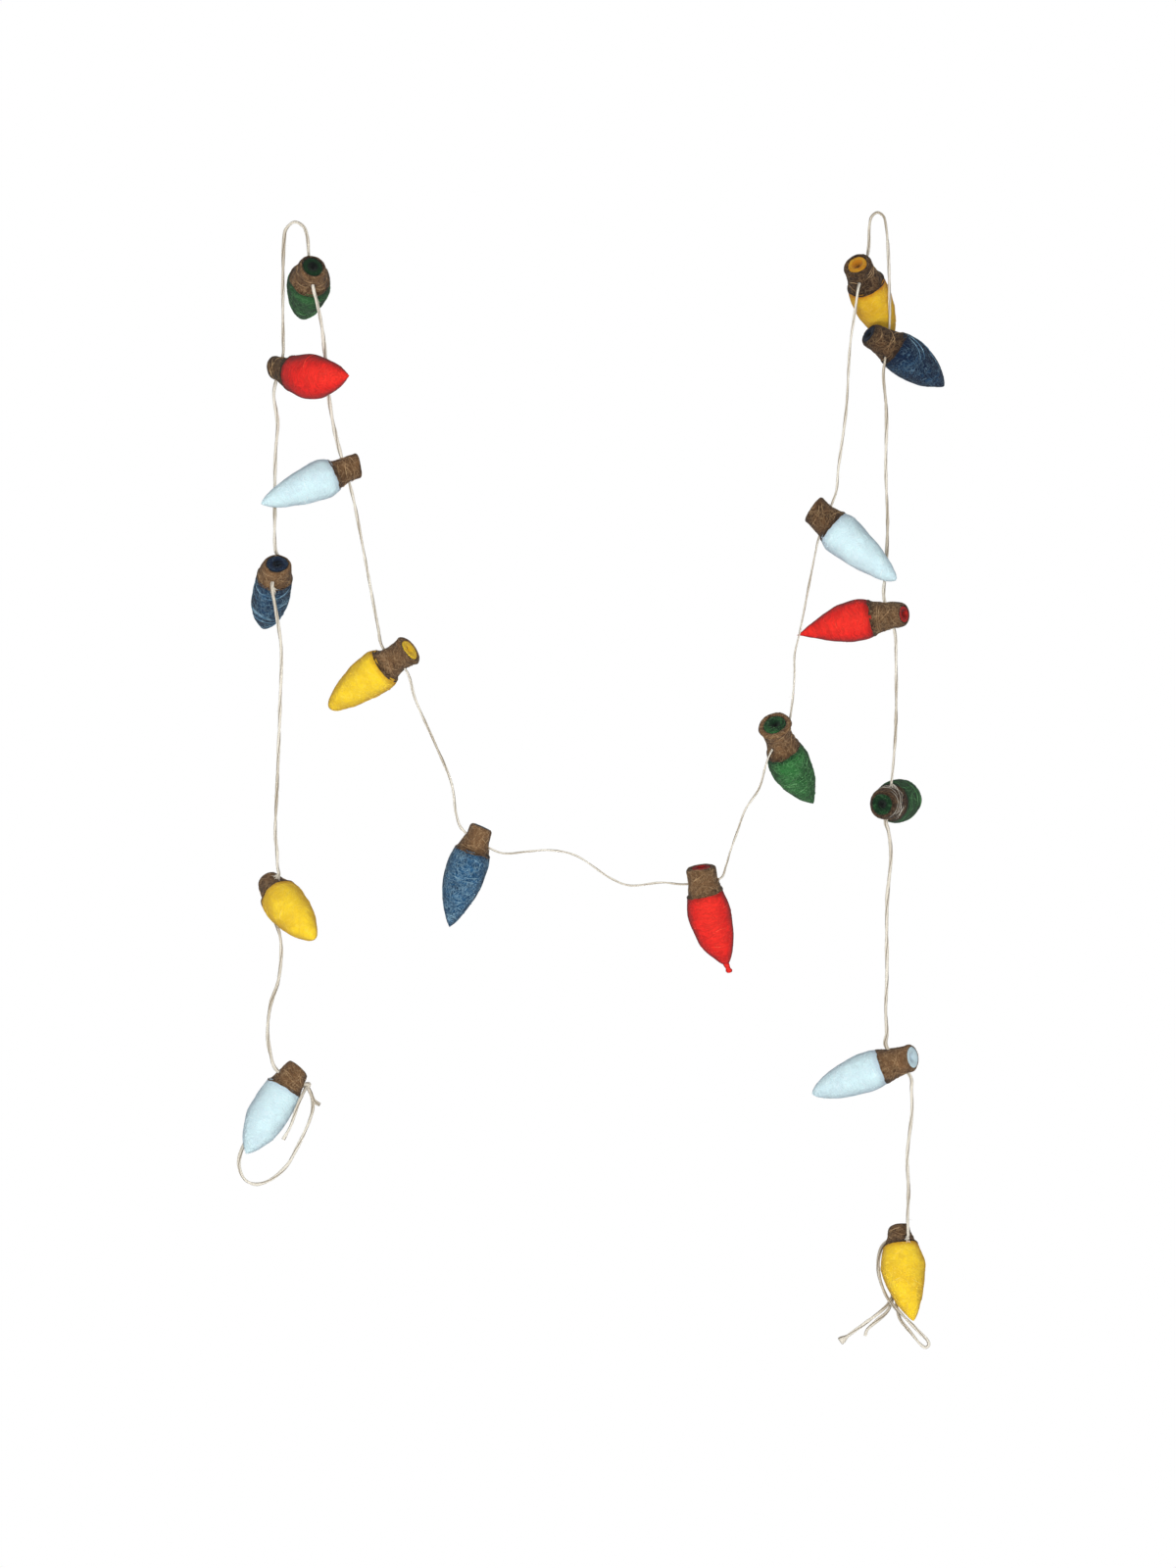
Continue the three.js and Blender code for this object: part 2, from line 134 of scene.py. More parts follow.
FIBRE_BEND = (210.0, 0.006)  # noise cells in a metre, and distance
FIBRE_SIZES = (0.4, 1.3)  # shares of the usual length
HAIR_SIZES = (0.3, 1.0)
HAIR_LEAN = 1.2
LOCK_STEPS = 22
LOCK_SIDES = 5
LOCK_SWELL = (0.2, 0.8)  # width of a lock's ends, and how much is added in its middle
LOCK_LIFT = 0.00016
LOCK_WIDTH = 0.00036
TANGLE_WIDTH = 0.0002
CAP_LOCKS = 7  # scattered over a cap of the usual shagginess
BODY_LOCKS = 8  # scattered over a wispy body, of which BARE_LOCKS are left out
BARE_LOCKS = 5
STRAY_TURN = 1.7  # a scattered lock starts within this angle of the viewer's side
STRAY_DROP = 0.0035
STRAY_REACH = (0.5, 1.5)
STRAY_SWAY = 0.0015
CAP_MARGINS = (0.0025, 0.001)  # scattered locks keep this far from the cap's two ends
BODY_START = 0.003  # on the body they begin this far from the cap
BODY_REACH = 0.94  # and end at this share of the bulb's length

# Shader patterns, with noise scales in cells for each metre

DRIFT = (150.0, 0.009)  # what bends the wool's pattern: its scale and its distance
CLOUD_SCALE = 110.0
GRAIN_SCALE = 900.0
RIB_SCALE = 1150.0
RIB_STRETCH = (1.0, 0.16, 0.16)
WISP_LINES = ((240.0, 0.028), (430.0, 0.036))  # scale and half width
RELIEF_SHARES = (0.35, 0.5, -0.6)  # heights of the grain, the strands and the ribs
FIBRE_COLOUR_SCALE = 260.0
AGED_SCALE = 28.0
FLECK_SCALE = 2400.0
GREY = (0.5, 0.5, 0.5)  # the middle of a noise colour

# Picture

IMAGE_WIDTH = 1200
IMAGE_HEIGHT = 1600
METRES_PER_PIXEL = 0.000512
ORIGIN_PIXEL = (300.5, 228.3)
CAMERA_DISTANCE = 3.0
CAMERA_REACH = 60.0
WHITE = (1.0, 1.0, 1.0, 1.0)
FLOOR_WHITE = (0.85, 0.85, 0.85, 1.0)
# The colour that the deepest painted shade, in a core's dimple, turns to.
HOLLOW_SHADE_BLACK = (0.003, 0.004, 0.004, 1.0)


class Felt(Enum):
    """The dyed wools of the garland."""

    PALE = "felt_pale"
    YELLOW = "felt_yellow"
    BLUE = "felt_blue"
    RED = "felt_red"
    GREEN = "felt_green"
    BROWN = "felt_brown"


@dataclass(frozen=True)
class BulbShape:
    """Where one felt bulb lies and how it is shaped.

    end and tip are the middle of the cap's end and the far tip. cap is the cap's length, and rim,
    waist and neck are its width at the end, the middle and the body. core is the width of the
    coloured disc in the cap's end. shoulder and wide are the body's width at the cap and at its
    widest, which lies belly from the cap's end. bore_at is the twine's distance from the cap's
    end and bore its way. blunt is the fullness of the tip and taper that of the way to it. bow is
    how far the middle is bent aside, face and skew are the slant of the cap's end towards the
    viewer and across the view, and nub is the length of a twisted wisp on the tip.
    tone and cap_dye_and_shade_tone darken the body and the cap, partly as a darker dye and partly as
    painted shade; disc is painted shade on the core's end, and hollow painted shade in its dimple.
    shaggy is how much loose wool the cap has, wispy how much paler wool shows on the body, and
    tangled says that the cap is wound about with loose jute.
    """

    felt: Felt
    end: Triple
    tip: Triple
    cap: float
    rim: float
    waist: float
    neck: float
    core: float
    shoulder: float
    wide: float
    belly: float
    bore_at: float
    bore: Triple
    blunt: float
    taper: float = 1.9
    bow: Triple = (0.0, 0.0, 0.0)
    face: float = 0.0
    skew: float = 0.0
    nub: float = 0.0
    tone: float = 0.0
    disc: float = 0.35
    hollow: float = 0.6
    cap_dye_and_shade_tone: float = 0.0
    shaggy: float = 1.0
    wispy: float = 1.0
    tangled: bool = False


BULBS = (
    BulbShape(
        Felt.PALE, end=(0.002, 0.002, -0.441), tip=(-0.025, -0.006, -0.4855),
        bow=(-0.0007, 0.0, 0.0004), cap=0.0125, rim=0.013, waist=0.0145, neck=0.017, core=0.0095,
        shoulder=0.0194, wide=0.0214, belly=0.028, blunt=0.8, face=-0.0006, skew=0.0011,
        bore_at=0.0063, bore=(-0.85, -0.25, 0.47),
    ),
    BulbShape(
        Felt.YELLOW, end=(-0.0145, 0.007, -0.343), tip=(0.0115, -0.026, -0.3729),
        bow=(-0.0006, 0.0, 0.0), cap=0.0135, rim=0.012, waist=0.0145, neck=0.017, core=0.0085,
        shoulder=0.0205, wide=0.0226, belly=0.0215, blunt=0.62, taper=1.6, bore_at=0.008,
        bore=(0.29, -0.52, 0.81), cap_dye_and_shade_tone=0.05,
    ),
    BulbShape(
        Felt.BLUE, end=(-0.0085, -0.008, -0.178), tip=(-0.0179, 0.033, -0.2105), cap=0.01,
        rim=0.0145, waist=0.016, neck=0.018, core=0.011, shoulder=0.0186, wide=0.0194, belly=0.027,
        blunt=0.78, skew=-0.0008, bore_at=0.007, bore=(0.15, 0.66, 0.74), tone=0.18, disc=0.7,
        hollow=1.0, wispy=1.4,
    ),
    BulbShape(
        Felt.RED, end=(-0.0115, 0.006, -0.0745), tip=(0.0298, -0.027, -0.0813),
        bow=(0.0, 0.0, -0.0028), cap=0.013, rim=0.012, waist=0.0135, neck=0.016, core=0.0085,
        shoulder=0.018, wide=0.023, belly=0.026, blunt=1, skew=-0.0005, bore_at=0.0042,
        bore=(0.22, 0.3, 0.93), cap_dye_and_shade_tone=0.4,
    ),
    BulbShape(
        Felt.GREEN, end=(0.01, -0.009, -0.023), tip=(0.0024, 0.033, -0.0454), cap=0.0115,
        rim=0.0145, waist=0.0165, neck=0.019, core=0.0105, shoulder=0.021, wide=0.0233, belly=0.018,
        blunt=0.52, taper=1.3, skew=0.0008, bore_at=0.007, bore=(0.14, -0.49, -0.86), tone=0.14,
        disc=0.8, hollow=1.0, cap_dye_and_shade_tone=0.12,
    ),
    BulbShape(
        Felt.PALE, end=(0.0339, 0.0015, -0.1258), tip=(-0.017, -0.007, -0.1467), cap=0.014,
        rim=0.013, waist=0.013, neck=0.0145, core=0.0088, shoulder=0.017, wide=0.0209, belly=0.02,
        blunt=0.68, taper=1.6, skew=0.0012, bore_at=0.008, bore=(0.28, 0.1, -0.95), cap_dye_and_shade_tone=0.12,
    ),
    BulbShape(
        Felt.YELLOW, end=(0.0604, -0.004, -0.2225), tip=(0.0176, 0.014, -0.2528),
        bow=(-0.0005, 0.0, 0.0006), cap=0.0155, rim=0.0165, waist=0.0145, neck=0.016, core=0.011,
        shoulder=0.019, wide=0.0228, belly=0.021, blunt=0.52, taper=1.4, face=0.001, bore_at=0.01,
        bore=(0.7, -0.1, -0.7), disc=0.0, hollow=0.15, cap_dye_and_shade_tone=0.05,
    ),
    BulbShape(
        Felt.BLUE, end=(0.098, -0.001, -0.315), tip=(0.0809, 0.001, -0.3675),
        bow=(-0.0012, 0.0, -0.0005), cap=0.013, rim=0.012, waist=0.0135, neck=0.017, core=0.0085,
        shoulder=0.0186, wide=0.0212, belly=0.023, blunt=0.92, skew=0.0006, bore_at=0.0067,
        bore=(0.83, 0, -0.56), tone=-0.04, wispy=1.5,
    ),
    BulbShape(
        Felt.RED, end=(0.2123, -0.003, -0.336), tip=(0.2259, 0.007, -0.3875),
        bow=(-0.0019, 0.0, -0.0005), cap=0.0135, rim=0.0156, waist=0.016, neck=0.017, core=0.0095,
        shoulder=0.0192, wide=0.0226, belly=0.026, blunt=0.68, face=0.0003, skew=0.001, nub=0.0045,
        bore_at=0.0076, bore=(0.985, 0, 0.17), disc=0.25, hollow=0.3,
    ),
    BulbShape(
        Felt.GREEN, end=(0.2505, -0.009, -0.2615), tip=(0.272, 0.021, -0.303),
        bow=(-0.002, 0.0, -0.0007), cap=0.0162, rim=0.018, waist=0.0145, neck=0.0175, core=0.0115,
        shoulder=0.018, wide=0.0218, belly=0.026, blunt=0.9, face=0.002, skew=0.0007,
        bore_at=0.0096, bore=(0.5, 0.3, 0.81), disc=0.45, hollow=0.9, wispy=1.4,
    ),
    BulbShape(
        Felt.PALE, end=(0.2706, 0.001, -0.1486), tip=(0.314, -0.006, -0.1864),
        bow=(-0.0004, 0.0, -0.0005), cap=0.014, rim=0.015, waist=0.015, neck=0.017, core=0.01,
        shoulder=0.0183, wide=0.0219, belly=0.0195, blunt=0.56, taper=1.4, skew=-0.0008,
        bore_at=0.0094, bore=(0.36, 0, 0.93), cap_dye_and_shade_tone=0.25,
    ),
    BulbShape(
        Felt.YELLOW, end=(0.2935, -0.01, -0.022), tip=(0.3124, 0.0235, -0.06), cap=0.013,
        rim=0.0155, waist=0.0155, neck=0.0186, core=0.01, shoulder=0.0198, wide=0.0212,
        belly=0.0225, blunt=0.78, face=0.0015, skew=-0.0007, bore_at=0.008, bore=(0.23, 0.67, 0.71),
        tone=0.3, hollow=0.5, cap_dye_and_shade_tone=0.5,
    ),
    BulbShape(
        Felt.BLUE, end=(0.2997, -0.005, -0.058), tip=(0.34, 0.009, -0.0842),
        bow=(0.0003, 0.0, 0.0015), cap=0.0155, rim=0.013, waist=0.0145, neck=0.018, core=0.0095,
        shoulder=0.0194, wide=0.022, belly=0.025, blunt=0.8, face=0.0008, bore_at=0.012,
        bore=(-0.14, -0.45, -0.88), tone=0.58, disc=0.6, cap_dye_and_shade_tone=0.5, wispy=0.8,
    ),
    BulbShape(
        Felt.RED, end=(0.3185, -0.003, -0.204), tip=(0.2625, 0.004, -0.215), bow=(0.0, 0.0, 0.0017),
        cap=0.017, rim=0.0125, waist=0.0145, neck=0.017, core=0.0087, shoulder=0.0184, wide=0.022,
        belly=0.024, blunt=1.2, face=0.003, skew=0.0005, bore_at=0.008, bore=(0.3, 0, -0.95),
        disc=0.3, hollow=0.4, cap_dye_and_shade_tone=0.12,
    ),
    BulbShape(
        Felt.GREEN, end=(0.3064, -0.009, -0.3033), tip=(0.3258, 0.041, -0.2998), cap=0.014,
        rim=0.0142, waist=0.0163, neck=0.018, core=0.011, shoulder=0.0184, wide=0.0224, belly=0.026,
        blunt=0.7, bore_at=0.011, bore=(-0.15, -0.1, -0.98), tone=0.2, disc=0.5, hollow=1.0,
        cap_dye_and_shade_tone=0.55, shaggy=1.15, tangled=True,
    ),
    BulbShape(
        Felt.PALE, end=(0.3228, -0.003, -0.4353), tip=(0.2706, 0.004, -0.4548),
        bow=(0.0, 0.0, 0.0009), cap=0.0165, rim=0.014, waist=0.015, neck=0.0195, core=0.011,
        shoulder=0.0184, wide=0.021, belly=0.024, blunt=0.68, face=0.0032, skew=0.0008,
        bore_at=0.008, bore=(0.61, 0, -0.79), disc=0.0, hollow=0.2,
    ),
    BulbShape(
        Felt.YELLOW, end=(0.3163, 0.008, -0.524), tip=(0.3228, -0.01, -0.5723),
        bow=(-0.0013, 0.0, 0.0), cap=0.0105, rim=0.011, waist=0.013, neck=0.015, core=0.0075,
        shoulder=0.018, wide=0.0235, belly=0.023, blunt=0.78, taper=1.5, bore_at=0.0063,
        bore=(-0.45, 0.88, -0.1), cap_dye_and_shade_tone=0.25,
    ),
)


@dataclass(frozen=True)
class Strand:
    """The twine between two bulbs: its width as a share of the usual one, and its points."""

    girth: float
    points: tuple[Triple, ...]


STRANDS = (
    Strand(0.98, (
        (-0.0125, -0.0015, -0.4335), (-0.014, -0.001, -0.423), (-0.0125, 0.0, -0.408),
        (-0.0084, 0.0015, -0.395), (-0.0072, 0.003, -0.376), (-0.0095, 0.005, -0.3665),
        (-0.013, 0.0075, -0.3595),
    )),
    Strand(0.88, (
        (-0.0088, -0.0015, -0.336), (-0.0091, -0.001, -0.328), (-0.01, 0.0, -0.319),
        (-0.009, 0.0, -0.292), (-0.0075, 0.0, -0.25), (-0.0069, -0.001, -0.222),
        (-0.0084, -0.0025, -0.2095), (-0.01, -0.005, -0.199),
    )),
    Strand(0.95, (
        (-0.01, 0.004, -0.171), (-0.0105, 0.0035, -0.1495), (-0.01, 0.0025, -0.119),
        (-0.0089, 0.0015, -0.104), (-0.0108, 0.0, -0.09),
    )),
    Strand(0.88, (
        (-0.0061, 0.0035, -0.061), (-0.0061, 0.0005, -0.04), (-0.0054, 0.0, -0.008),
        (-0.0044, 0.0, -0.0028), (0.0, 0.0, 0.0009), (0.0046, 0.0, -0.0014),
        (0.0066, 0.0002, -0.0065),
    )),
    Strand(1.02, (
        (0.0116, -0.005, -0.04), (0.0144, -0.003, -0.054), (0.0164, -0.0005, -0.073),
        (0.0177, -0.0003, -0.0885), (0.0205, 0.0, -0.106),
    )),
    Strand(0.82, (
        (0.031, 0.001, -0.145), (0.0365, 0.0, -0.173), (0.0435, 0.0003, -0.21),
    )),
    Strand(0.72, (
        (0.063, -0.0015, -0.248), (0.0734, -0.0005, -0.2715), (0.0822, 0.0, -0.293),
        (0.0846, -0.0006, -0.309),
    )),
    Strand(0.56, (
        (0.1097, -0.0005, -0.329), (0.122, 0.0, -0.328), (0.1335, 0.0, -0.3273),
        (0.1467, 0.0, -0.33), (0.1656, 0.0, -0.3422), (0.175, 0.0, -0.3457), (0.192, 0.0, -0.3442),
    )),
    Strand(0.56, (
        (0.2254, -0.0015, -0.3355), (0.2276, -0.0015, -0.328), (0.2312, -0.002, -0.3178),
        (0.2355, -0.003, -0.306), (0.2426, -0.0055, -0.295), (0.246, -0.0075, -0.283),
    )),
    Strand(0.56, (
        (0.2598, -0.0003, -0.252), (0.2612, 0.0, -0.2365), (0.2613, -0.0005, -0.225),
        (0.2638, -0.001, -0.214), (0.2719, -0.0005, -0.173),
    )),
    Strand(0.7, (
        (0.2832, -0.0002, -0.139), (0.284, 0.0, -0.129), (0.288, -0.0035, -0.098),
        (0.29, -0.0065, -0.064), (0.2928, -0.0092, -0.044),
    )),
    Strand(0.78, (
        (0.3, 0.0003, -0.012), (0.3004, 0.0, -0.001), (0.3016, 0.0, 0.0038), (0.3046, 0.0, 0.0059),
        (0.3077, 0.0, 0.0039), (0.309, -0.0005, -0.0015), (0.31, -0.0024, -0.014),
        (0.3107, -0.0038, -0.04),
    )),
    Strand(0.88, (
        (0.3073, -0.0075, -0.079), (0.3091, -0.002, -0.098), (0.309, 0.0015, -0.129),
        (0.31, 0.0034, -0.156), (0.3092, 0.0032, -0.18),
    )),
    Strand(0.78, (
        (0.3141, -0.002, -0.225), (0.3141, -0.001, -0.262), (0.3132, 0.0005, -0.278),
    )),
    Strand(0.96, (
        (0.3102, 0.0, -0.317), (0.3116, 0.0, -0.329), (0.3096, 0.0, -0.354),
        (0.3094, -0.001, -0.395), (0.3088, -0.0015, -0.4105), (0.3093, -0.002, -0.423),
    )),
    Strand(0.92, (
        (0.3222, -0.002, -0.452), (0.3225, -0.002, -0.463), (0.32, -0.002, -0.4875),
        (0.3207, -0.0022, -0.505), (0.3201, -0.0034, -0.519), (0.3204, -0.0036, -0.526),
    )),
)
LEFT_LOOP = (
    (0.0088, 0.0028, -0.456), (0.0095, 0.002, -0.4617), (0.0079, 0.0015, -0.4683),
    (0.0008, 0.001, -0.4837), (-0.0042, 0.001, -0.4923), (-0.013, 0.002, -0.4998),
    (-0.0205, 0.0026, -0.502), (-0.0262, 0.003, -0.4995), (-0.0292, 0.0038, -0.4925),
    (-0.0282, 0.0054, -0.485), (-0.019, 0.0105, -0.4675), (-0.011, 0.012, -0.459),
    (-0.002, 0.0105, -0.4535), (0.004, 0.0075, -0.451),
)
LEFT_TAIL = (
    (0.004, -0.004, -0.4555), (0.0018, -0.0065, -0.4606), (-0.0017, -0.0062, -0.4709),
    (-0.0056, -0.0052, -0.4781),
)
LEFT_STUB = (
    (0.0082, 0.003, -0.4538), (0.0104, 0.0022, -0.4586), (0.0132, 0.0016, -0.4604),
)
RIGHT_LOOP = (
    (0.3082, 0.013, -0.5345), (0.3059, 0.0105, -0.54), (0.3054, 0.008, -0.5472),
    (0.3071, 0.006, -0.555), (0.3103, 0.004, -0.562), (0.3184, 0.0015, -0.571),
    (0.3268, 0.0004, -0.5794), (0.3308, 0.0002, -0.5836), (0.3314, 0.0004, -0.5858),
    (0.3297, 0.0009, -0.5872), (0.3274, 0.0014, -0.5858), (0.3222, 0.0028, -0.5796),
    (0.3166, 0.005, -0.5725), (0.3148, 0.0084, -0.5645), (0.3146, 0.0124, -0.553),
    (0.3136, 0.0148, -0.539),
)
RIGHT_TAIL_LONG = (
    (0.316, 0.0158, -0.539), (0.316, 0.0145, -0.55), (0.3144, 0.0128, -0.558),
    (0.3104, 0.0085, -0.5654), (0.2984, 0.006, -0.575), (0.2934, 0.005, -0.5785),
    (0.2852, 0.004, -0.5843),
)
RIGHT_TAIL_SHORT = (
    (0.3116, 0.016, -0.538), (0.3124, 0.0155, -0.552), (0.313, 0.0126, -0.5625),
    (0.3104, 0.0104, -0.569), (0.3048, 0.008, -0.5738), (0.2994, 0.0064, -0.5786),
    (0.2984, 0.006, -0.5816),
)


@dataclass(frozen=True)
class Sample:
    """One point of a turned outline: its radius and its distance from the cap's end."""

    radius: float
    distance: float


# Node trees


@dataclass
class Graph:
    """A shader or geometry tree that is being built."""

    tree: Tree

    @classmethod
    def cleared(cls, owner: bpy.types.ID) -> "Graph":
        """Starts an empty tree.

        Args:
            owner: The material or world that it belongs to.

        Returns:
            The tree's graph.
        """
        owner.use_nodes = True
        owner.node_tree.nodes.clear()
        return cls(owner.node_tree)

    def sockets(self, inputs: dict[str, str], outputs: dict[str, str]) -> Any:
        """Names a group's inputs and outputs.

        Args:
            inputs: The kind of each input, by name.
            outputs: The kind of each output, by name.

        Returns:
            The inputs' sockets.
        """
        for way, kinds in (("INPUT", inputs), ("OUTPUT", outputs)):
            for name, kind in kinds.items():
                self.tree.interface.new_socket(name, in_out=way, socket_type="NodeSocket" + kind)
        return self.add("NodeGroupInput").outputs

    def add(self, kind: str, inputs: Inputs | None = None, **settings: Any) -> Node:
        """Adds a node.

        Args:
            kind: The node's type name.
            inputs: Values or sockets for its inputs, by name or number.
            **settings: Values for the node's own properties.

        Returns:
            The new node.
        """
        node = self.tree.nodes.new(kind)
        for name, value in settings.items():
            setattr(node, name, value)
        for key, value in (inputs or {}).items():
            if isinstance(value, Socket):
                self.tree.links.new(value, node.inputs[key])
            else:
                node.inputs[key].default_value = value
        return node

    def shape(self, kind: str, inputs: Inputs | None = None, **settings: Any) -> Socket:
        """Adds a geometry node and returns its first output."""
        return self.add("GeometryNode" + kind, inputs, **settings).outputs[0]

    def math(self, operation: str, *values: Any, clamp: bool = False) -> Socket:
        """Adds a sum, which is repeated along its values where there are more than two.

        Args:
            operation: The sum's name, such as ADD.
            *values: Its numbers or sockets, in order.
            clamp: True to keep the result from 0 to 1.

        Returns:
            The result's socket.
        """
        while len(values) > 2:
            values = (self.math(operation, *values[:2]), *values[2:])
        node = self.add("ShaderNodeMath", dict(enumerate(values)), operation=operation)
        node.use_clamp = clamp
        return node.outputs[0]

    def vector(self, operation: str, *values: Any) -> Socket:
        """Adds a vector sum and returns its vector."""
        inputs = dict(enumerate(values))
        return self.add("ShaderNodeVectorMath", inputs, operation=operation).outputs[0]

    def scaled(self, vector: Any, factor: Any) -> Socket:
        """Adds a vector times a number."""
        inputs = {0: vector, "Scale": factor}
        return self.add("ShaderNodeVectorMath", inputs, operation="SCALE").outputs[0]

    def noise(self, place: Socket, scale: float, detail: float, output: str = "Fac") -> Socket:
        """Adds a noise texture and returns its Fac or its Color."""
        inputs = {"Vector": place, "Scale": scale, "Detail": detail}
        return self.add("ShaderNodeTexNoise", inputs).outputs[output]

    def attribute(self, name: str, output: str = "Fac") -> Socket:
        """Reads an attribute of the mesh."""
        return self.add("ShaderNodeAttribute", attribute_name=name).outputs[output]

    def spread(
        self, value: Any, low: float, high: float, start: float = 0.0, stop: float = 1.0
    ) -> Socket:
        """Maps low..high to start..stop with soft ends.

        Args:
            value: The socket that is mapped.
            low: The value that becomes start.
            high: The value that becomes stop.
            start: The result at low and before it.
            stop: The result at high and past it.

        Returns:
            The result's socket.
        """
        inputs = {"Value": value, "From Min": low, "From Max": high, "To Min": start, "To Max": stop}
        kind = "ShaderNodeMapRange"
        return self.add(kind, inputs, interpolation_type="SMOOTHSTEP").outputs["Result"]

    def mix(self, share: Any, first: Any, second: Any) -> Socket:
        """Mixes two colours, of which share is the second one's part."""
        inputs = {0: share, 6: first, 7: second}
        return self.add("ShaderNodeMix", inputs, data_type="RGBA").outputs[2]

    def principled(self, looks: Inputs) -> None:
        """Adds the surface shader and joins it to the material's output."""
        shader = self.add("ShaderNodeBsdfPrincipled", looks)
        self.add("ShaderNodeOutputMaterial", {"Surface": shader.outputs["BSDF"]})

    def ring(self, sides: int, width: Socket) -> Socket:
        """Adds the ring that a tube is drawn from."""
        radius = self.math("MULTIPLY", width, 0.5)
        return self.shape("CurvePrimitiveCircle", {"Resolution": sides, "Radius": radius})

    def tube(self, curve: Socket, ring: Socket, scale: Any = 1.0) -> Socket:
        """Adds a tube with closed ends along a curve."""
        inputs = {"Curve": curve, "Profile Curve": ring, "Scale": scale, "Fill Caps": True}
        return self.shape("CurveToMesh", inputs)

    def closed(self, geometry: Socket, material: Socket, name: str, smooth: bool = True) -> Tree:
        """Ends a geometry tree.

        Args:
            geometry: What the tree has made.
            material: The material that it gets.
            name: Name of the tree's output.
            smooth: True to shade it smooth.

        Returns:
            The finished tree.
        """
        if smooth:
            geometry = self.shape("SetShadeSmooth", {"Geometry": geometry})
        geometry = self.shape("RealizeInstances", {"Geometry": geometry})
        geometry = self.shape("SetMaterial", {"Geometry": geometry, "Material": material})
        self.add("NodeGroupOutput", {name: geometry})
        return self.tree


def colour(red: int, green: int, blue: int) -> Colour:
    """Turns a screen colour into a linear one.

    Args:
        red: Red, 0 to 255.
        green: Green, 0 to 255.
        blue: Blue, 0 to 255.

    Returns:
        The linear colour with full alpha.
    """
    parts = []
    for value in (red, green, blue):
        share = value / 255
        parts.append(share / 12.92 if share <= 0.04045 else ((share + 0.055) / 1.055) ** 2.4)
    return (*parts, 1.0)


def felted_wool_group() -> Tree:
    """Builds the shader group of matted wool: soft clouds of dye and fine crossing fibres, with the
    painted shade that its Shadow input carries.

    Returns:
        The group, with the outputs Colour and Height.
    """
    graph = Graph(bpy.data.node_groups.new("felted_wool", "ShaderNodeTree"))
    inputs = graph.sockets(
        {
            "Dye": "Color", "Shade": "Color", "Wisp": "Color", "Place": "Vector",
            "Clouds": "Float", "Wisps": "Float", "Ribs": "Float", "Shadow": "Float",
        },
        {"Colour": "Color", "Height": "Float"},
    )
    place, shadow = inputs["Place"], inputs["Shadow"]
    scale, distance = DRIFT
    drift = graph.vector("SUBTRACT", graph.noise(place, scale, 2.0, "Color"), GREY)
    warped = graph.vector("ADD", place, graph.scaled(drift, distance))
    cloud = graph.spread(graph.noise(place, CLOUD_SCALE, 3.0), 0.38, 0.66)
    grain = graph.spread(graph.noise(warped, GRAIN_SCALE, 2.0), 0.3, 0.7)
    around = graph.vector("MULTIPLY", warped, RIB_STRETCH)
    rib = graph.spread(graph.noise(around, RIB_SCALE, 2.0), 0.36, 0.64)
    lines = []
    for scale, reach in WISP_LINES:
        offset = graph.math("SUBTRACT", graph.noise(warped, scale, 1.0), 0.5)
        lines.append(graph.spread(graph.math("ABSOLUTE", offset), 0.0, reach, 1.0, 0.0))
    strands = graph.math("MAXIMUM", *lines)

    clouded = graph.math("MULTIPLY", cloud, inputs["Clouds"])
    specked = graph.math("MULTIPLY", grain, inputs["Clouds"], 0.35)
    ribbed = graph.math("MULTIPLY", rib, inputs["Ribs"])
    # The Shadow input adds painted shade, and the darker dye of some bulbs, to the real mottling.
    dim = graph.math("ADD", clouded, specked, ribbed, shadow, clamp=True)
    body = graph.mix(dim, inputs["Dye"], inputs["Shade"])
    # Painted shade: where the Shadow input is deepest, in the dimple, the wool turns near black.
    body = graph.mix(graph.spread(shadow, 0.9, 1.9, 0.0, 0.92), body, HOLLOW_SHADE_BLACK)
    lit = graph.math("SUBTRACT", 1.0, shadow, clamp=True)
    paler = graph.math("MULTIPLY", strands, inputs["Wisps"], lit)
    relief = [graph.math("MULTIPLY", *pair) for pair in zip((grain, strands, rib), RELIEF_SHARES)]
    finished = {
        "Colour": graph.mix(paler, body, inputs["Wisp"]),
        "Height": graph.math("ADD", *relief),
    }
    graph.add("NodeGroupOutput", finished)
    return graph.tree


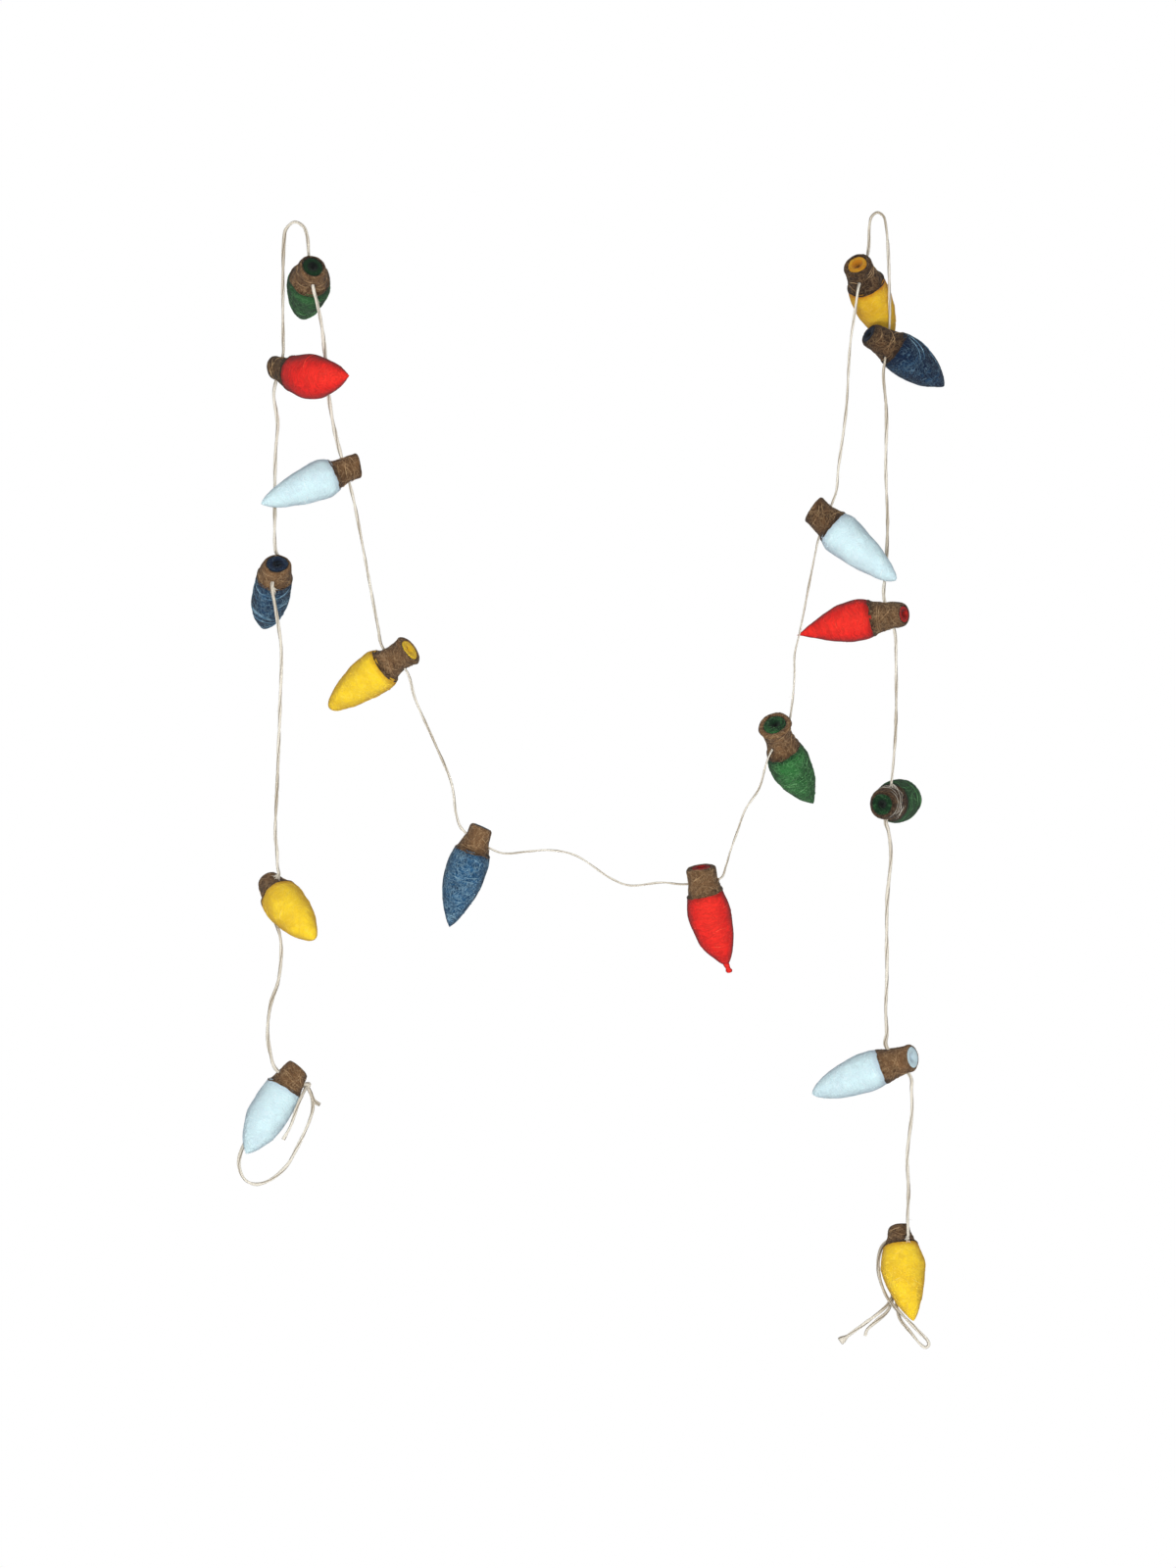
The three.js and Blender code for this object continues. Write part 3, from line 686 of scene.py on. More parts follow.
@dataclass(frozen=True)
class FeltFinish:
    """A dyed wool: its own, its shaded and its paler colour, and how much of each shows.

    clouds, wisps and ribs are the strengths of its soft patches, pale fibres and wound rings, limb
    is how much painted shade darkens it where it turns away from the eye, glow how much painted
    highlight makes it paler where it faces the eye, and relief how rough it is.
    """

    felt: Felt
    dye: Colour
    shade: Colour
    wisp: Colour
    clouds: float
    wisps: float
    ribs: float
    limb_shade: float
    glow: float = 0.0
    relief: float = 0.6

    def material(self, group: Tree) -> bpy.types.Material:
        """Builds the felt's material.

        Args:
            group: The felted wool group.

        Returns:
            The material.
        """
        made = bpy.data.materials.new(self.felt.value)
        graph = Graph.cleared(made)
        inputs = {
            "Dye": self.dye, "Shade": self.shade, "Wisp": self.wisp, "Clouds": self.clouds,
            "Wisps": self.wisps, "Ribs": self.ribs, "Place": graph.attribute("wound", "Vector"),
            "Shadow": graph.attribute("shadow"),
        }
        wool = graph.add("ShaderNodeGroup", inputs, node_tree=group)
        facing = graph.add("ShaderNodeLayerWeight", {"Blend": 0.5}).outputs["Facing"]
        # Painted shade: darker towards the shade colour where the felt turns away from the eye.
        edge = graph.spread(facing, 0.2, 0.95, 0.0, self.limb_shade)
        # Painted highlight: paler towards the wisp colour where the felt faces the eye.
        glow = graph.spread(facing, 0.02, 0.3, self.glow, 0.0)
        lit = graph.mix(glow, wool.outputs["Colour"], self.wisp)
        inputs = {"Strength": self.relief, "Distance": 0.0004, "Height": wool.outputs["Height"]}
        bump = graph.add("ShaderNodeBump", inputs)
        looks = {
            "Base Color": graph.mix(edge, lit, self.shade), "Normal": bump.outputs["Normal"],
            "Roughness": 0.95, "Specular IOR Level": 0.15, "Sheen Weight": FELT_SHEEN,
            "Sheen Roughness": 0.6,
        }
        graph.principled(looks)
        return made

    def fibre_material(self) -> bpy.types.Material:
        """Builds the material of the loose fibres, which vary from wisp to dye along the piece and
        darken with the painted shade of the shadow attribute.

        Returns:
            The material.
        """
        made = bpy.data.materials.new(self.felt.value + "_fibres")
        graph = Graph.cleared(made)
        place = graph.add("ShaderNodeTexCoord").outputs["Object"]
        share = graph.spread(graph.noise(place, FIBRE_COLOUR_SCALE, 1.0), 0.42, 0.6, 0.3, 0.85)
        # Painted shade carried over from the felt's shadow attribute.
        dim = graph.math("MULTIPLY", graph.attribute("shadow"), 0.8, clamp=True)
        looks = {
            "Base Color": graph.mix(dim, graph.mix(share, self.dye, self.wisp), self.shade),
            "Roughness": 0.9, "Specular IOR Level": 0.1, "Sheen Weight": FELT_SHEEN,
        }
        graph.principled(looks)
        return made


@dataclass(frozen=True)
class JuteFinish:
    """Cream jute twine: its lit crowns, painted shade in its ply groove and greyer lengths."""

    name: str
    crown: Colour
    groove: Colour
    aged: Colour

    def material(self) -> bpy.types.Material:
        """Builds the twine's material.

        Returns:
            The material.
        """
        made = bpy.data.materials.new(self.name)
        graph = Graph.cleared(made)
        place = graph.add("ShaderNodeTexCoord").outputs["Object"]
        greyer = graph.spread(graph.noise(place, AGED_SCALE, 3.0), 0.44, 0.68, 0.1, 0.8)
        fibres = graph.noise(place, FLECK_SCALE, 2.0)
        fleck = graph.spread(fibres, 0.35, 0.7, 0.0, 0.22)
        # Painted shade in the groove between the twine's two plies.
        deep = graph.spread(graph.attribute("ply_groove_shade"), 0.5, 0.95, 0.0, 0.85)
        body = graph.mix(greyer, self.crown, self.aged)
        bump = graph.add("ShaderNodeBump", {"Strength": 0.5, "Distance": 0.0002, "Height": fibres})
        looks = {
            "Base Color": graph.mix(graph.math("MAXIMUM", deep, fleck), body, self.groove),
            "Normal": bump.outputs["Normal"], "Roughness": 0.85, "Specular IOR Level": 0.2,
            "Sheen Weight": 0.1,
        }
        graph.principled(looks)
        return made


FELTS = (
    FeltFinish(
        Felt.PALE, colour(212, 240, 245), colour(172, 188, 206), colour(240, 249, 252),
        clouds=0.16, wisps=0.25, ribs=0.1, limb_shade=0.55,
    ),
    FeltFinish(
        Felt.YELLOW, colour(255, 216, 44), colour(186, 118, 20), colour(255, 232, 120),
        clouds=0.2, wisps=0.2, ribs=0.1, limb_shade=0.5,
    ),
    FeltFinish(
        Felt.BLUE, colour(44, 92, 130), colour(12, 30, 54), colour(150, 188, 208),
        clouds=0.35, wisps=0.5, ribs=0.45, limb_shade=0.8,
    ),
    FeltFinish(
        Felt.RED, colour(242, 36, 30), colour(116, 6, 10), colour(255, 92, 70),
        clouds=0.12, wisps=0.1, ribs=0.3, limb_shade=1.0, glow=0.12, relief=0.35,
    ),
    FeltFinish(
        Felt.GREEN, colour(50, 118, 58), colour(12, 44, 22), colour(122, 182, 122),
        clouds=0.35, wisps=0.35, ribs=0.35, limb_shade=0.75,
    ),
    FeltFinish(
        Felt.BROWN, colour(120, 88, 58), colour(46, 32, 22), colour(190, 158, 118),
        clouds=0.26, wisps=0.4, ribs=0.36, limb_shade=0.7, relief=0.45,
    ),
)
# The third colour is painted shade in the ply groove, and the colour of dark flecks.
JUTE = JuteFinish("jute", colour(240, 234, 220), colour(104, 88, 70), colour(186, 174, 154))


@dataclass(frozen=True)
class LooseWool:
    """How many fibres lie and hairs stand on a square metre, their lengths, width and seed."""

    lying: float = 0.0
    standing: float = 30000.0
    lying_length: float = 0.006
    standing_length: float = 0.0009
    width: float = 0.00013
    seed: int = 0

    def inputs(self, wool: bpy.types.Material, number: int = 0, loose: float = 1.0) -> dict[str, Any]:
        """Sets the inputs of the loose wool tree.

        Args:
            wool: The material of the fibres and hairs.
            number: The number of the bulb that they grow on.
            loose: How much wool lies on it, 1 for the usual amount.

        Returns:
            The values, by input name.
        """
        return {
            "Lying": self.lying * loose, "Lying Length": self.lying_length,
            "Standing": self.standing, "Standing Length": self.standing_length,
            "Width": self.width, "Seed": number * SEED_STEP + self.seed, "Wool": wool,
        }


LOOSE_WOOL = {
    Felt.PALE: LooseWool(22000.0),
    Felt.YELLOW: LooseWool(22000.0),
    Felt.BLUE: LooseWool(110000.0, 40000.0, 0.007, 0.001),
    Felt.RED: LooseWool(10000.0, 16000.0),
    Felt.GREEN: LooseWool(60000.0, 40000.0, 0.007, 0.001),
    Felt.BROWN: LooseWool(170000.0, 60000.0, 0.005, 0.001, seed=4),
}
TWINE_HAIRS = LooseWool(standing=14000.0, standing_length=0.0026, width=0.00014)

# Geometry trees


def loose_wool_tree() -> Tree:
    """Builds the tree that scatters lying fibres and short standing hairs over a felt surface.

    Returns:
        The tree, with named inputs for the counts, sizes, seed and material.
    """
    graph = Graph(bpy.data.node_groups.new("loose_wool", "GeometryNodeTree"))
    inputs = graph.sockets(
        {
            "Surface": "Geometry", "Lying": "Float", "Lying Length": "Float", "Standing": "Float",
            "Standing Length": "Float", "Width": "Float", "Seed": "Int", "Wool": "Material",
        },
        {"Fibres": "Geometry"},
    )
    surface = inputs["Surface"]

    def turned(points: Node, lean: float, seed: int) -> Socket:
        """Adds a random turn about the surface's normal, and a lean away from it.

        Args:
            points: The node that scatters the points.
            lean: The greatest lean.
            seed: Seed of the turns.

        Returns:
            The rotation's socket.
        """
        limits = {0: (-lean, -lean, 0.0), 1: (lean, lean, TURN), "Seed": seed}
        spin = graph.add("FunctionNodeRandomValue", limits, data_type="FLOAT_VECTOR").outputs[0]
        euler = graph.add("FunctionNodeEulerToRotation", {0: spin}).outputs[0]
        both = {0: points.outputs["Rotation"], 1: euler}
        return graph.add("FunctionNodeRotateRotation", both, rotation_space="LOCAL").outputs[0]

    def planted(
        form: Socket, density: str, lean: float, sizes: tuple[float, float], seed: int
    ) -> Socket:
        """Sets a form on scattered points, turned and sized at random.

        Args:
            form: The form.
            density: Name of the input that says how many stand on a square metre.
            lean: The greatest lean away from the surface's normal.
            sizes: The least and greatest size, as shares of the form's own.
            seed: The first of the three seeds that are used.

        Returns:
            The geometry's socket.
        """
        shifted = graph.math("ADD", inputs["Seed"], float(seed))
        places = {"Mesh": surface, "Density": inputs[density], "Seed": shifted}
        points = graph.add("GeometryNodeDistributePointsOnFaces", places)
        limits = {2: sizes[0], 3: sizes[1], "Seed": seed + 2}
        size = graph.add("FunctionNodeRandomValue", limits, data_type="FLOAT").outputs[1]
        stood = {
            "Points": points.outputs["Points"], "Instance": form, "Scale": size,
            "Rotation": turned(points, lean, seed + 1),
        }
        return graph.shape("RealizeInstances", {"Geometry": graph.shape("InstanceOnPoints", stood)})

    half = graph.math("MULTIPLY", inputs["Lying Length"], 0.5)
    before = graph.math("MULTIPLY", half, -1.0)
    ends = [graph.add("ShaderNodeCombineXYZ", {"X": x}).outputs[0] for x in (before, half)]
    line = graph.shape("CurvePrimitiveLine", {"Start": ends[0], "End": ends[1]})
    line = graph.shape("ResampleCurve", {"Curve": line, "Count": FIBRE_POINTS})
    strands = planted(line, "Lying", 0.0, FIBRE_SIZES, 1)
    here = graph.shape("InputPosition")
    scale, distance = FIBRE_BEND
    bend = graph.vector("SUBTRACT", graph.noise(here, scale, 1.0, "Color"), GREY)
    bent = {"Geometry": strands, "Offset": graph.scaled(bend, distance)}
    strands = graph.shape("SetPosition", bent)
    nearest = graph.add("GeometryNodeProximity", {0: surface}, target_element="FACES")
    asked = {"Mesh": surface, "Value": graph.shape("InputNormal"), "Sample Position": here}
    outward = graph.shape("SampleNearestSurface", asked, data_type="FLOAT_VECTOR")
    lying = graph.vector("ADD", nearest.outputs["Position"], graph.scaled(outward, FIBRE_LIFT))
    strands = graph.shape("SetPosition", {"Geometry": strands, "Position": lying})
    tubes = graph.tube(strands, graph.ring(3, inputs["Width"]))

    cone = {
        "Vertices": 3, "Radius Top": 0.0, "Depth": inputs["Standing Length"],
        "Radius Bottom": graph.math("MULTIPLY", inputs["Width"], 0.45),
    }
    hairs = planted(graph.shape("MeshCone", cone), "Standing", HAIR_LEAN, HAIR_SIZES, 5)
    both = graph.add("GeometryNodeJoinGeometry")
    for part in (tubes, hairs):
        graph.tree.links.new(part, both.inputs[0])
    return graph.closed(both.outputs[0], inputs["Wool"], "Fibres", smooth=False)


def twine_tree() -> Tree:
    """Builds the tree that lays two twisted plies along a route, uneven in width.

    Returns:
        The tree, with named inputs for the width, the flare of a frayed end and the material.
    """
    graph = Graph(bpy.data.node_groups.new("two_ply_twine", "GeometryNodeTree"))
    kinds = {"Route": "Geometry", "Width": "Float", "Flare": "Float", "Jute": "Material"}
    inputs = graph.sockets(kinds, {"Twine": "Geometry"})
    place = graph.add("GeometryNodeSplineParameter").outputs
    whole = graph.add("GeometryNodeSplineLength").outputs["Length"]
    here = graph.shape("InputPosition")
    tilt = graph.math("MULTIPLY", place["Length"], TURN / TWINE_PITCH)
    tilted = graph.shape("SetCurveTilt", {"Curve": inputs["Route"], "Tilt": tilt})
    scale, *widths = TWINE_UNEVEN
    uneven = graph.spread(graph.noise(here, scale, 2.0), 0.3, 0.7, *widths)
    left = graph.math("DIVIDE", graph.math("SUBTRACT", whole, place["Length"]), FRAYED_LENGTH)
    flare = graph.math("MULTIPLY", graph.spread(left, 0.15, 1.0, 1.0, 0.0), inputs["Flare"])
    girth = graph.shape("InputRadius")
    thick = graph.math("MULTIPLY", uneven, girth, graph.math("ADD", flare, 1.0))

    lobes = graph.math("COSINE", graph.math("MULTIPLY", place["Factor"], TURN))
    lobes = graph.math("ABSOLUTE", lobes)
    # Mask of the painted shade in the groove between the two plies, read by the jute material.
    ply_groove_shade = graph.math("SUBTRACT", 1.0, lobes)
    ring = {"Geometry": graph.ring(TWINE_SIDES, inputs["Width"]), "Name": "ply_groove_shade", "Value": ply_groove_shade}
    ring = graph.shape("StoreNamedAttribute", ring, data_type="FLOAT", domain="POINT")
    plied = graph.scaled(here, graph.spread(lobes, 0.0, 0.8, *TWINE_PLIES))
    ring = graph.shape("SetPosition", {"Geometry": ring, "Position": plied})
    return graph.closed(graph.tube(tilted, ring, thick), inputs["Jute"], "Twine")


def lock_tree() -> Tree:
    """Builds the tree that turns routes into thin locks of wool, tapered at both ends.

    Returns:
        The tree, with named inputs for the width and material.
    """
    graph = Graph(bpy.data.node_groups.new("wool_locks", "GeometryNodeTree"))
    kinds = {"Routes": "Geometry", "Width": "Float", "Wool": "Material"}
    inputs = graph.sockets(kinds, {"Locks": "Geometry"})
    share = graph.add("GeometryNodeSplineParameter").outputs["Factor"]
    swell = graph.math("SINE", graph.math("MULTIPLY", share, math.pi))
    ends, middle = LOCK_SWELL
    swell = graph.math("ADD", graph.math("MULTIPLY", swell, middle), ends)
    tubes = graph.tube(inputs["Routes"], graph.ring(LOCK_SIDES, inputs["Width"]), swell)
    return graph.closed(tubes, inputs["Wool"], "Locks")


def linked(name: str, data: bpy.types.ID) -> Piece:
    """Puts data into the scene as an object.

    Args:
        name: Name of the object.
        data: Its mesh, curve, light or camera.

    Returns:
        The object.
    """
    made = bpy.data.objects.new(name, data)
    bpy.context.scene.collection.objects.link(made)
    return made


def poly_curve(name: str, routes: Sequence[Sequence[Vector]]) -> bpy.types.Curve:
    """Makes a curve.

    Args:
        name: Name of the curve.
        routes: The points of each of its splines.

    Returns:
        The curve, with a straight-stepped spline for each route.
    """
    curve = bpy.data.curves.new(name, "CURVE")
    curve.dimensions = "3D"
    for route in routes:
        spline = curve.splines.new("POLY")
        spline.points.add(len(route) - 1)
        for target, point in zip(spline.points, route):
            target.co = (*point, 1.0)
    return curve


def grown(
    name: str, source: bpy.types.Mesh | bpy.types.Curve, tree: Tree, values: dict[str, Any]
) -> Piece:
    """Runs a geometry tree on a mesh or curve and keeps its result as a plain mesh.

    Args:
        name: Name of the new object.
        source: The mesh or curve that the tree starts from.
        tree: The geometry tree.
        values: Values of its named inputs.

    Returns:
        The object, linked to the scene.
    """
    carrier = linked(name + "_carrier", source)
    modifier = carrier.modifiers.new("grow", "NODES")
    modifier.node_group = tree
    for item in tree.interface.items_tree:
        if item.item_type == "SOCKET" and item.in_out == "INPUT" and item.name in values:
            modifier[item.identifier] = values[item.name]
    reached = bpy.context.evaluated_depsgraph_get()
    mesh = bpy.data.meshes.new_from_object(carrier.evaluated_get(reached))
    carrier.modifiers.remove(modifier)
    bpy.data.objects.remove(carrier)
    mesh.name = name
    return linked(name, mesh)


@dataclass
class Wardrobe:
    """The materials and geometry trees that the garland's pieces share."""

    felts: dict[Felt, bpy.types.Material]
    fibres: dict[Felt, bpy.types.Material]
    jute: bpy.types.Material
    loose_wool: Tree
    locks: Tree
    two_ply: Tree

    @classmethod
    def filled(cls) -> "Wardrobe":
        """Builds every material and tree once.

        Returns:
            The wardrobe.
        """
        group = felted_wool_group()
        return cls(
            felts={finish.felt: finish.material(group) for finish in FELTS},
            fibres={finish.felt: finish.fibre_material() for finish in FELTS},
            jute=JUTE.material(),
            loose_wool=loose_wool_tree(),
            locks=lock_tree(),
            two_ply=twine_tree(),
        )


# Felt bulbs


@dataclass(frozen=True)
class Lock:
    """A lock of wool on a bulb: its two ends, each a distance and an angle, and its sway."""

    bulb: int
    on_cap: bool
    start: tuple[float, float]
    stop: tuple[float, float]
    sway: float = 0.0


LOCKS = (
    Lock(1, True, (0.0045, -1.0), (0.009, 0.9), 0.001),
    Lock(1, True, (0.006, -1.2), (0.0075, 0.3), -0.001),
    Lock(3, False, (0.0345, -1.5), (0.0375, 0.9), -0.004),
    Lock(3, False, (0.0352, -1.5), (0.0382, 0.9), -0.004),
    Lock(3, False, (0.0358, -1.4), (0.0386, 0.8), -0.0038),
    Lock(3, False, (0.013, -1.3), (0.015, 0.3), 0.002),
    Lock(3, False, (0.013, 1.4), (0.0155, -0.2), 0.0024),
    Lock(3, False, (0.014, 1.1), (0.018, -0.6), 0.002),
    Lock(6, True, (0.004, -1.3), (0.009, 1.1), 0.002),
    Lock(6, True, (0.0065, -1.4), (0.005, 1.3), -0.001),
    Lock(8, False, (0.0505, -1.2), (0.0515, 0.8), 0.0006),
    Lock(8, False, (0.049, -1.3), (0.05, 1.1), -0.0008),
    Lock(13, False, (0.0165, 1.2), (0.03, 0.35), 0.003),
    Lock(13, False, (0.0172, 1.15), (0.0305, 0.3), 0.003),
    Lock(13, False, (0.0175, 1.5), (0.042, 0.7), 0.0),
    Lock(13, False, (0.018, 0.9), (0.029, 0.1), 0.002),
    Lock(14, True, (0.012, -1.4), (0.015, 1.2), 0.0006),
    Lock(14, True, (0.01, -1.2), (0.0135, 1.1), 0.0015),
    Lock(15, True, (0.003, -0.9), (0.0125, 1.4), 0.0),
    Lock(15, True, (0.004, 1.9), (0.012, 0.2), 0.001),
)


@dataclass
class FeltBulb:
    """One felt bulb: a body with its core, and the brown cap that is felted round the core."""

    shape: BulbShape
    number: int
    wardrobe: Wardrobe

    def __post_init__(self) -> None:
        """Works out the bulb's own frame: its ways to the tip, to the viewer and aside."""
        self.end = Vector(self.shape.end)
        along = Vector(self.shape.tip) - self.end
        self.length = along.length
        self.along = along.normalized()
        viewer = Vector((0.0, -1.0, 0.0))
        self.viewer = (viewer - self.along * viewer.dot(self.along)).normalized()
        self.side = self.viewer.cross(self.along)

    def bent(self, distance: float) -> Vector:
        """Returns how far the bulb's middle line is bent aside at a distance from the end."""
        share = distance / self.length
        return Vector(self.shape.bow) * (4 * share * (1 - share))

    def bore_centre(self) -> Vector:
        """Returns the middle of the twine's way through the cap."""
        return self.end + self.along * self.shape.bore_at + self.bent(self.shape.bore_at)

    def beside_bore(self, reach: float) -> Vector:
        """Returns the twine's point this far from the middle of the bore, along its way."""
        return self.bore_centre() + Vector(self.shape.bore).normalized() * reach

    def bore_ends(self) -> list[Vector]:
        """Returns where the twine enters and leaves the cap, a little past its sides."""
        reach = self.shape.neck / 2 + BORE_LEAD
        return [self.beside_bore(-reach), self.beside_bore(reach)]

    def body_radius(self, distance: float) -> float:
        """Works out the body's outline.

        Args:
            distance: The distance from the cap's end.

        Returns:
            The body's radius there.
        """
        shape = self.shape
        if distance <= shape.belly:
            rise = max(0.0, (distance - shape.cap) / (shape.belly - shape.cap))
            return (shape.shoulder + (shape.wide - shape.shoulder) * math.sin(rise * math.pi / 2)) / 2
        fall = min(1.0, (distance - shape.belly) / (self.length - shape.belly))
        radius = shape.wide / 2 * (1 - fall**shape.taper) ** shape.blunt
        return max(radius, NUB_RADIUS) if shape.nub > 0 else radius

    def cap_radius(self, distance: float) -> float:
        """Works out the cap's outline, a smooth curve through rim, waist and neck.

        Args:
            distance: The distance from the cap's end.

        Returns:
            The cap's outer radius there.
        """
        shape = self.shape
        share = distance / shape.cap
        rim = shape.rim * (1 - share) * (1 - 2 * share)
        waist = shape.waist * 4 * share * (1 - share)
        neck = (shape.neck + shape.shoulder) / 2 * share * (2 * share - 1)
        return (rim + waist + neck) / 2

    def body_outline(self) -> list[Sample]:
        """Draws the body's outline from the dimple in its core to its tip.

        Returns:
            The outline's points.
        """
        shape, core = self.shape, self.shape.core / 2
        outline = [Sample(DIMPLE_RADIUS * out, DIMPLE_DEPTH * deep) for out, deep in DIMPLE]
        outline += [Sample(core * share, 0.0) for share in DISC]
        outline += [Sample(core, CORE_ROUNDING), Sample(core, shape.cap / 2)]
        outline.append(Sample(core, shape.cap - CLEARANCE))
        outline.append(Sample(shape.shoulder / 2 * SHOULDER_START, shape.cap))
        for step in range(RISE_RINGS):
            distance = shape.cap + (shape.belly - shape.cap) * step / RISE_RINGS
            outline.append(Sample(self.body_radius(distance), distance + CLEARANCE / 2))
        for step in range(FALL_RINGS):
            share = math.sin(step / FALL_RINGS * math.pi / 2)
            distance = shape.belly + (self.length - shape.belly) * share
            outline.append(Sample(self.body_radius(distance), distance))
        if shape.nub > 0:
            for share, swell in NUB:
                outline.append(Sample(NUB_RADIUS * swell, self.length + shape.nub * share))
        outline.append(Sample(0.0, self.length + shape.nub))
        return outline

    def cap_outline(self) -> list[Sample]:
        """Draws the cap's outline, with its thin lower lip over the body.

        Returns:
            The outline's points, of which the last is the first again.
        """
        shape = self.shape
        inside, rim = shape.core / 2 + CORE_GAP, self.cap_radius(0.0)
        outline = [Sample(inside + out, RIM_ROUNDING * share) for out, share in INNER_EDGE]
        for angle in RIM:
            turn = angle * math.pi / 2
            radius = rim - RIM_ROUNDING + math.sin(turn) * RIM_ROUNDING
            outline.append(Sample(radius, RIM_ROUNDING * (1 - math.cos(turn))))
        for step in range(1, CAP_RINGS):
            distance = RIM_ROUNDING + (shape.cap - RIM_ROUNDING) * step / CAP_RINGS
            outline.append(Sample(self.cap_radius(distance), distance))
        for share, proud in LIP:
            distance = shape.cap + LIP_LENGTH * share
            outline.append(Sample(self.body_radius(distance) + proud, distance))
        sunk = self.body_radius(shape.cap) - LIP_SUNK
        outline.append(Sample(sunk, shape.cap + LIP_LENGTH * LIP_BACK))
        outline += [Sample(inside, shape.cap - SLEEVE_END), outline[0]]
        return outline

    def relief(self, point: Vector) -> float:
        """Returns the height of the hand-felted lumps and dents at a point."""
        coarse = noise.noise(point * COARSE_RELIEF[0] + Vector((self.number, 0.0, 0.0)))
        return coarse * COARSE_RELIEF[1] + noise.noise(point * FINE_RELIEF[0]) * FINE_RELIEF[1]

    def edge_wander(self, distance: float, angle: float) -> float:
        """Works out how far the cap's ragged lower edge strays along the bulb.

        Args:
            distance: The distance from the cap's end.
            angle: The way round the bulb.

        Returns:
            How far it strays there, which is nothing over most of the cap.
        """
        across = math.cos(angle) * WANDER_TURN, math.sin(angle) * WANDER_TURN
        place = Vector((*across, self.number * WANDER_SHIFT))
        wander = sum(height * noise.noise(place * scale) for scale, height in WANDER_WAVES)
        cap = self.shape.cap
        low = (distance - WANDER_START * cap) / ((1 - WANDER_START) * cap)
        return LIP_WANDER * wander * max(0.0, min(1.0, low))

    def surface(
        self, radius: float, distance: float, angle: float, stray: float = 0.0
    ) -> tuple[Vector, Vector]:
        """Finds a point of the felt surface, with its lumps, bends and slanted end.

        Args:
            radius: The outline's radius there.
            distance: The outline's distance from the cap's end.
            angle: The way round the bulb, from the viewer's side.
            stray: How far the point strays along the bulb.

        Returns:
            The point and the way outwards.
        """
        shape = self.shape
        phase = (self.number - 1) * LUMP_SHIFT
        two, three = LUMP_SHARES
        lump = two * math.sin(2 * angle + phase) + three * math.sin(3 * angle - phase)
        swollen = radius * (1 + FELT_LUMP * lump)
        fade = max(0.0, 1 - distance / FACE_FADE) * swollen / (shape.rim / 2)
        slant = shape.face * math.cos(angle) + shape.skew * math.sin(angle)
        outward = self.viewer * math.cos(angle) + self.side * math.sin(angle)
        point = self.end + self.along * (distance + slant * fade + stray) + outward * swollen
        point += self.bent(distance)
        point += outward * self.relief(point) * min(1.0, radius / POINTED)
        return point, outward

    def turned(
        self, name: str, outline: Sequence[Sample], on_cap: bool, tone: float
    ) -> bpy.types.Mesh:
        """Turns an outline into a felt form with lumps, bends and the twine's two pits.

        Args:
            name: Name of the mesh.
            outline: The outline, from pole to pole, or closed.
            on_cap: True for the cap, whose lower edge is ragged.
            tone: How much it is darkened towards the shade colour, by darker dye and painted shade.

        Returns:
            The mesh, with its shadow and its place on the wound wool as attributes.
        """
        form = bmesh.new()
        layer = form.verts.layers.float.new("shadow")
        wound = form.verts.layers.float_vector.new("wound")
        closed = outline[0] == outline[-1]
        centre, way = self.bore_centre(), Vector(self.shape.bore).normalized()
        rings = []
        for sample in outline[:-1] if closed else outline:
            ring = []
            for step in range(FELT_SEGMENTS if sample.radius else 1):
                angle = step * TURN / FELT_SEGMENTS
                stray = self.edge_wander(sample.distance, angle) if on_cap else 0.0
                point, outward = self.surface(sample.radius, sample.distance, angle, stray)
                from_bore = point - centre
                beyond = from_bore.dot(way)
                aside = (from_bore - way * beyond).length
                pit = math.exp(-((aside / PIT_RADIUS) ** 2)) if abs(beyond) > PIT_START else 0
                point -= outward * PIT_DEPTH * pit
                vertex = form.verts.new(point)
                # Painted shade in the twine's two pits, on top of the darkening of the whole piece.
                vertex[layer] = tone + PIT_SHADOW * pit
                across = sample.radius * math.cos(angle), sample.radius * math.sin(angle)
                vertex[wound] = (sample.distance + stray, across[0] + self.number, across[1])
                ring.append(vertex)
            rings.append(ring)
        for first, second in zip(rings, rings[1:] + rings[:1] if closed else rings[1:]):
            for step in range(FELT_SEGMENTS):
                after = (step + 1) % FELT_SEGMENTS
                if len(first) == 1:
                    form.faces.new((first[0], second[after], second[step]))
                elif len(second) == 1:
                    form.faces.new((first[step], first[after], second[0]))
                else:
                    form.faces.new((first[step], first[after], second[after], second[step]))
        bmesh.ops.recalc_face_normals(form, faces=form.faces)
        for face in form.faces:
            face.smooth = True
        mesh = bpy.data.meshes.new(name)
        form.to_mesh(mesh)
        form.free()
        return mesh

    def shade_hollows(self, mesh: bpy.types.Mesh) -> None:
        """Paints shade on the core's end and in its dimple, and along the seam of cap and body.

        Args:
            mesh: The body's or the cap's mesh.
        """
        shadow = mesh.attributes["shadow"].data
        for vertex in mesh.vertices:
            offset = vertex.co - self.end
            distance = offset.dot(self.along)
            radius = (offset - self.along * distance).length
            # Painted shade on the core's end, darkest in its dimple.
            if distance < DISC_SHADE_DEPTH and radius < self.shape.core / 2 + DISC_MARGIN:
                hollow = max(0.0, 1 - radius / (DIMPLE_RADIUS * HOLLOW_REACH))
                hollow *= HOLLOW_SHADOW * self.shape.hollow
                shadow[vertex.index].value += self.shape.disc + hollow
            # Painted shade along the seam where the cap's lip meets the body.
            seam = (distance - self.shape.cap - LIP_LENGTH) / SEAM_WIDTH
            shadow[vertex.index].value += SEAM_SHADOW * math.exp(-(seam**2))

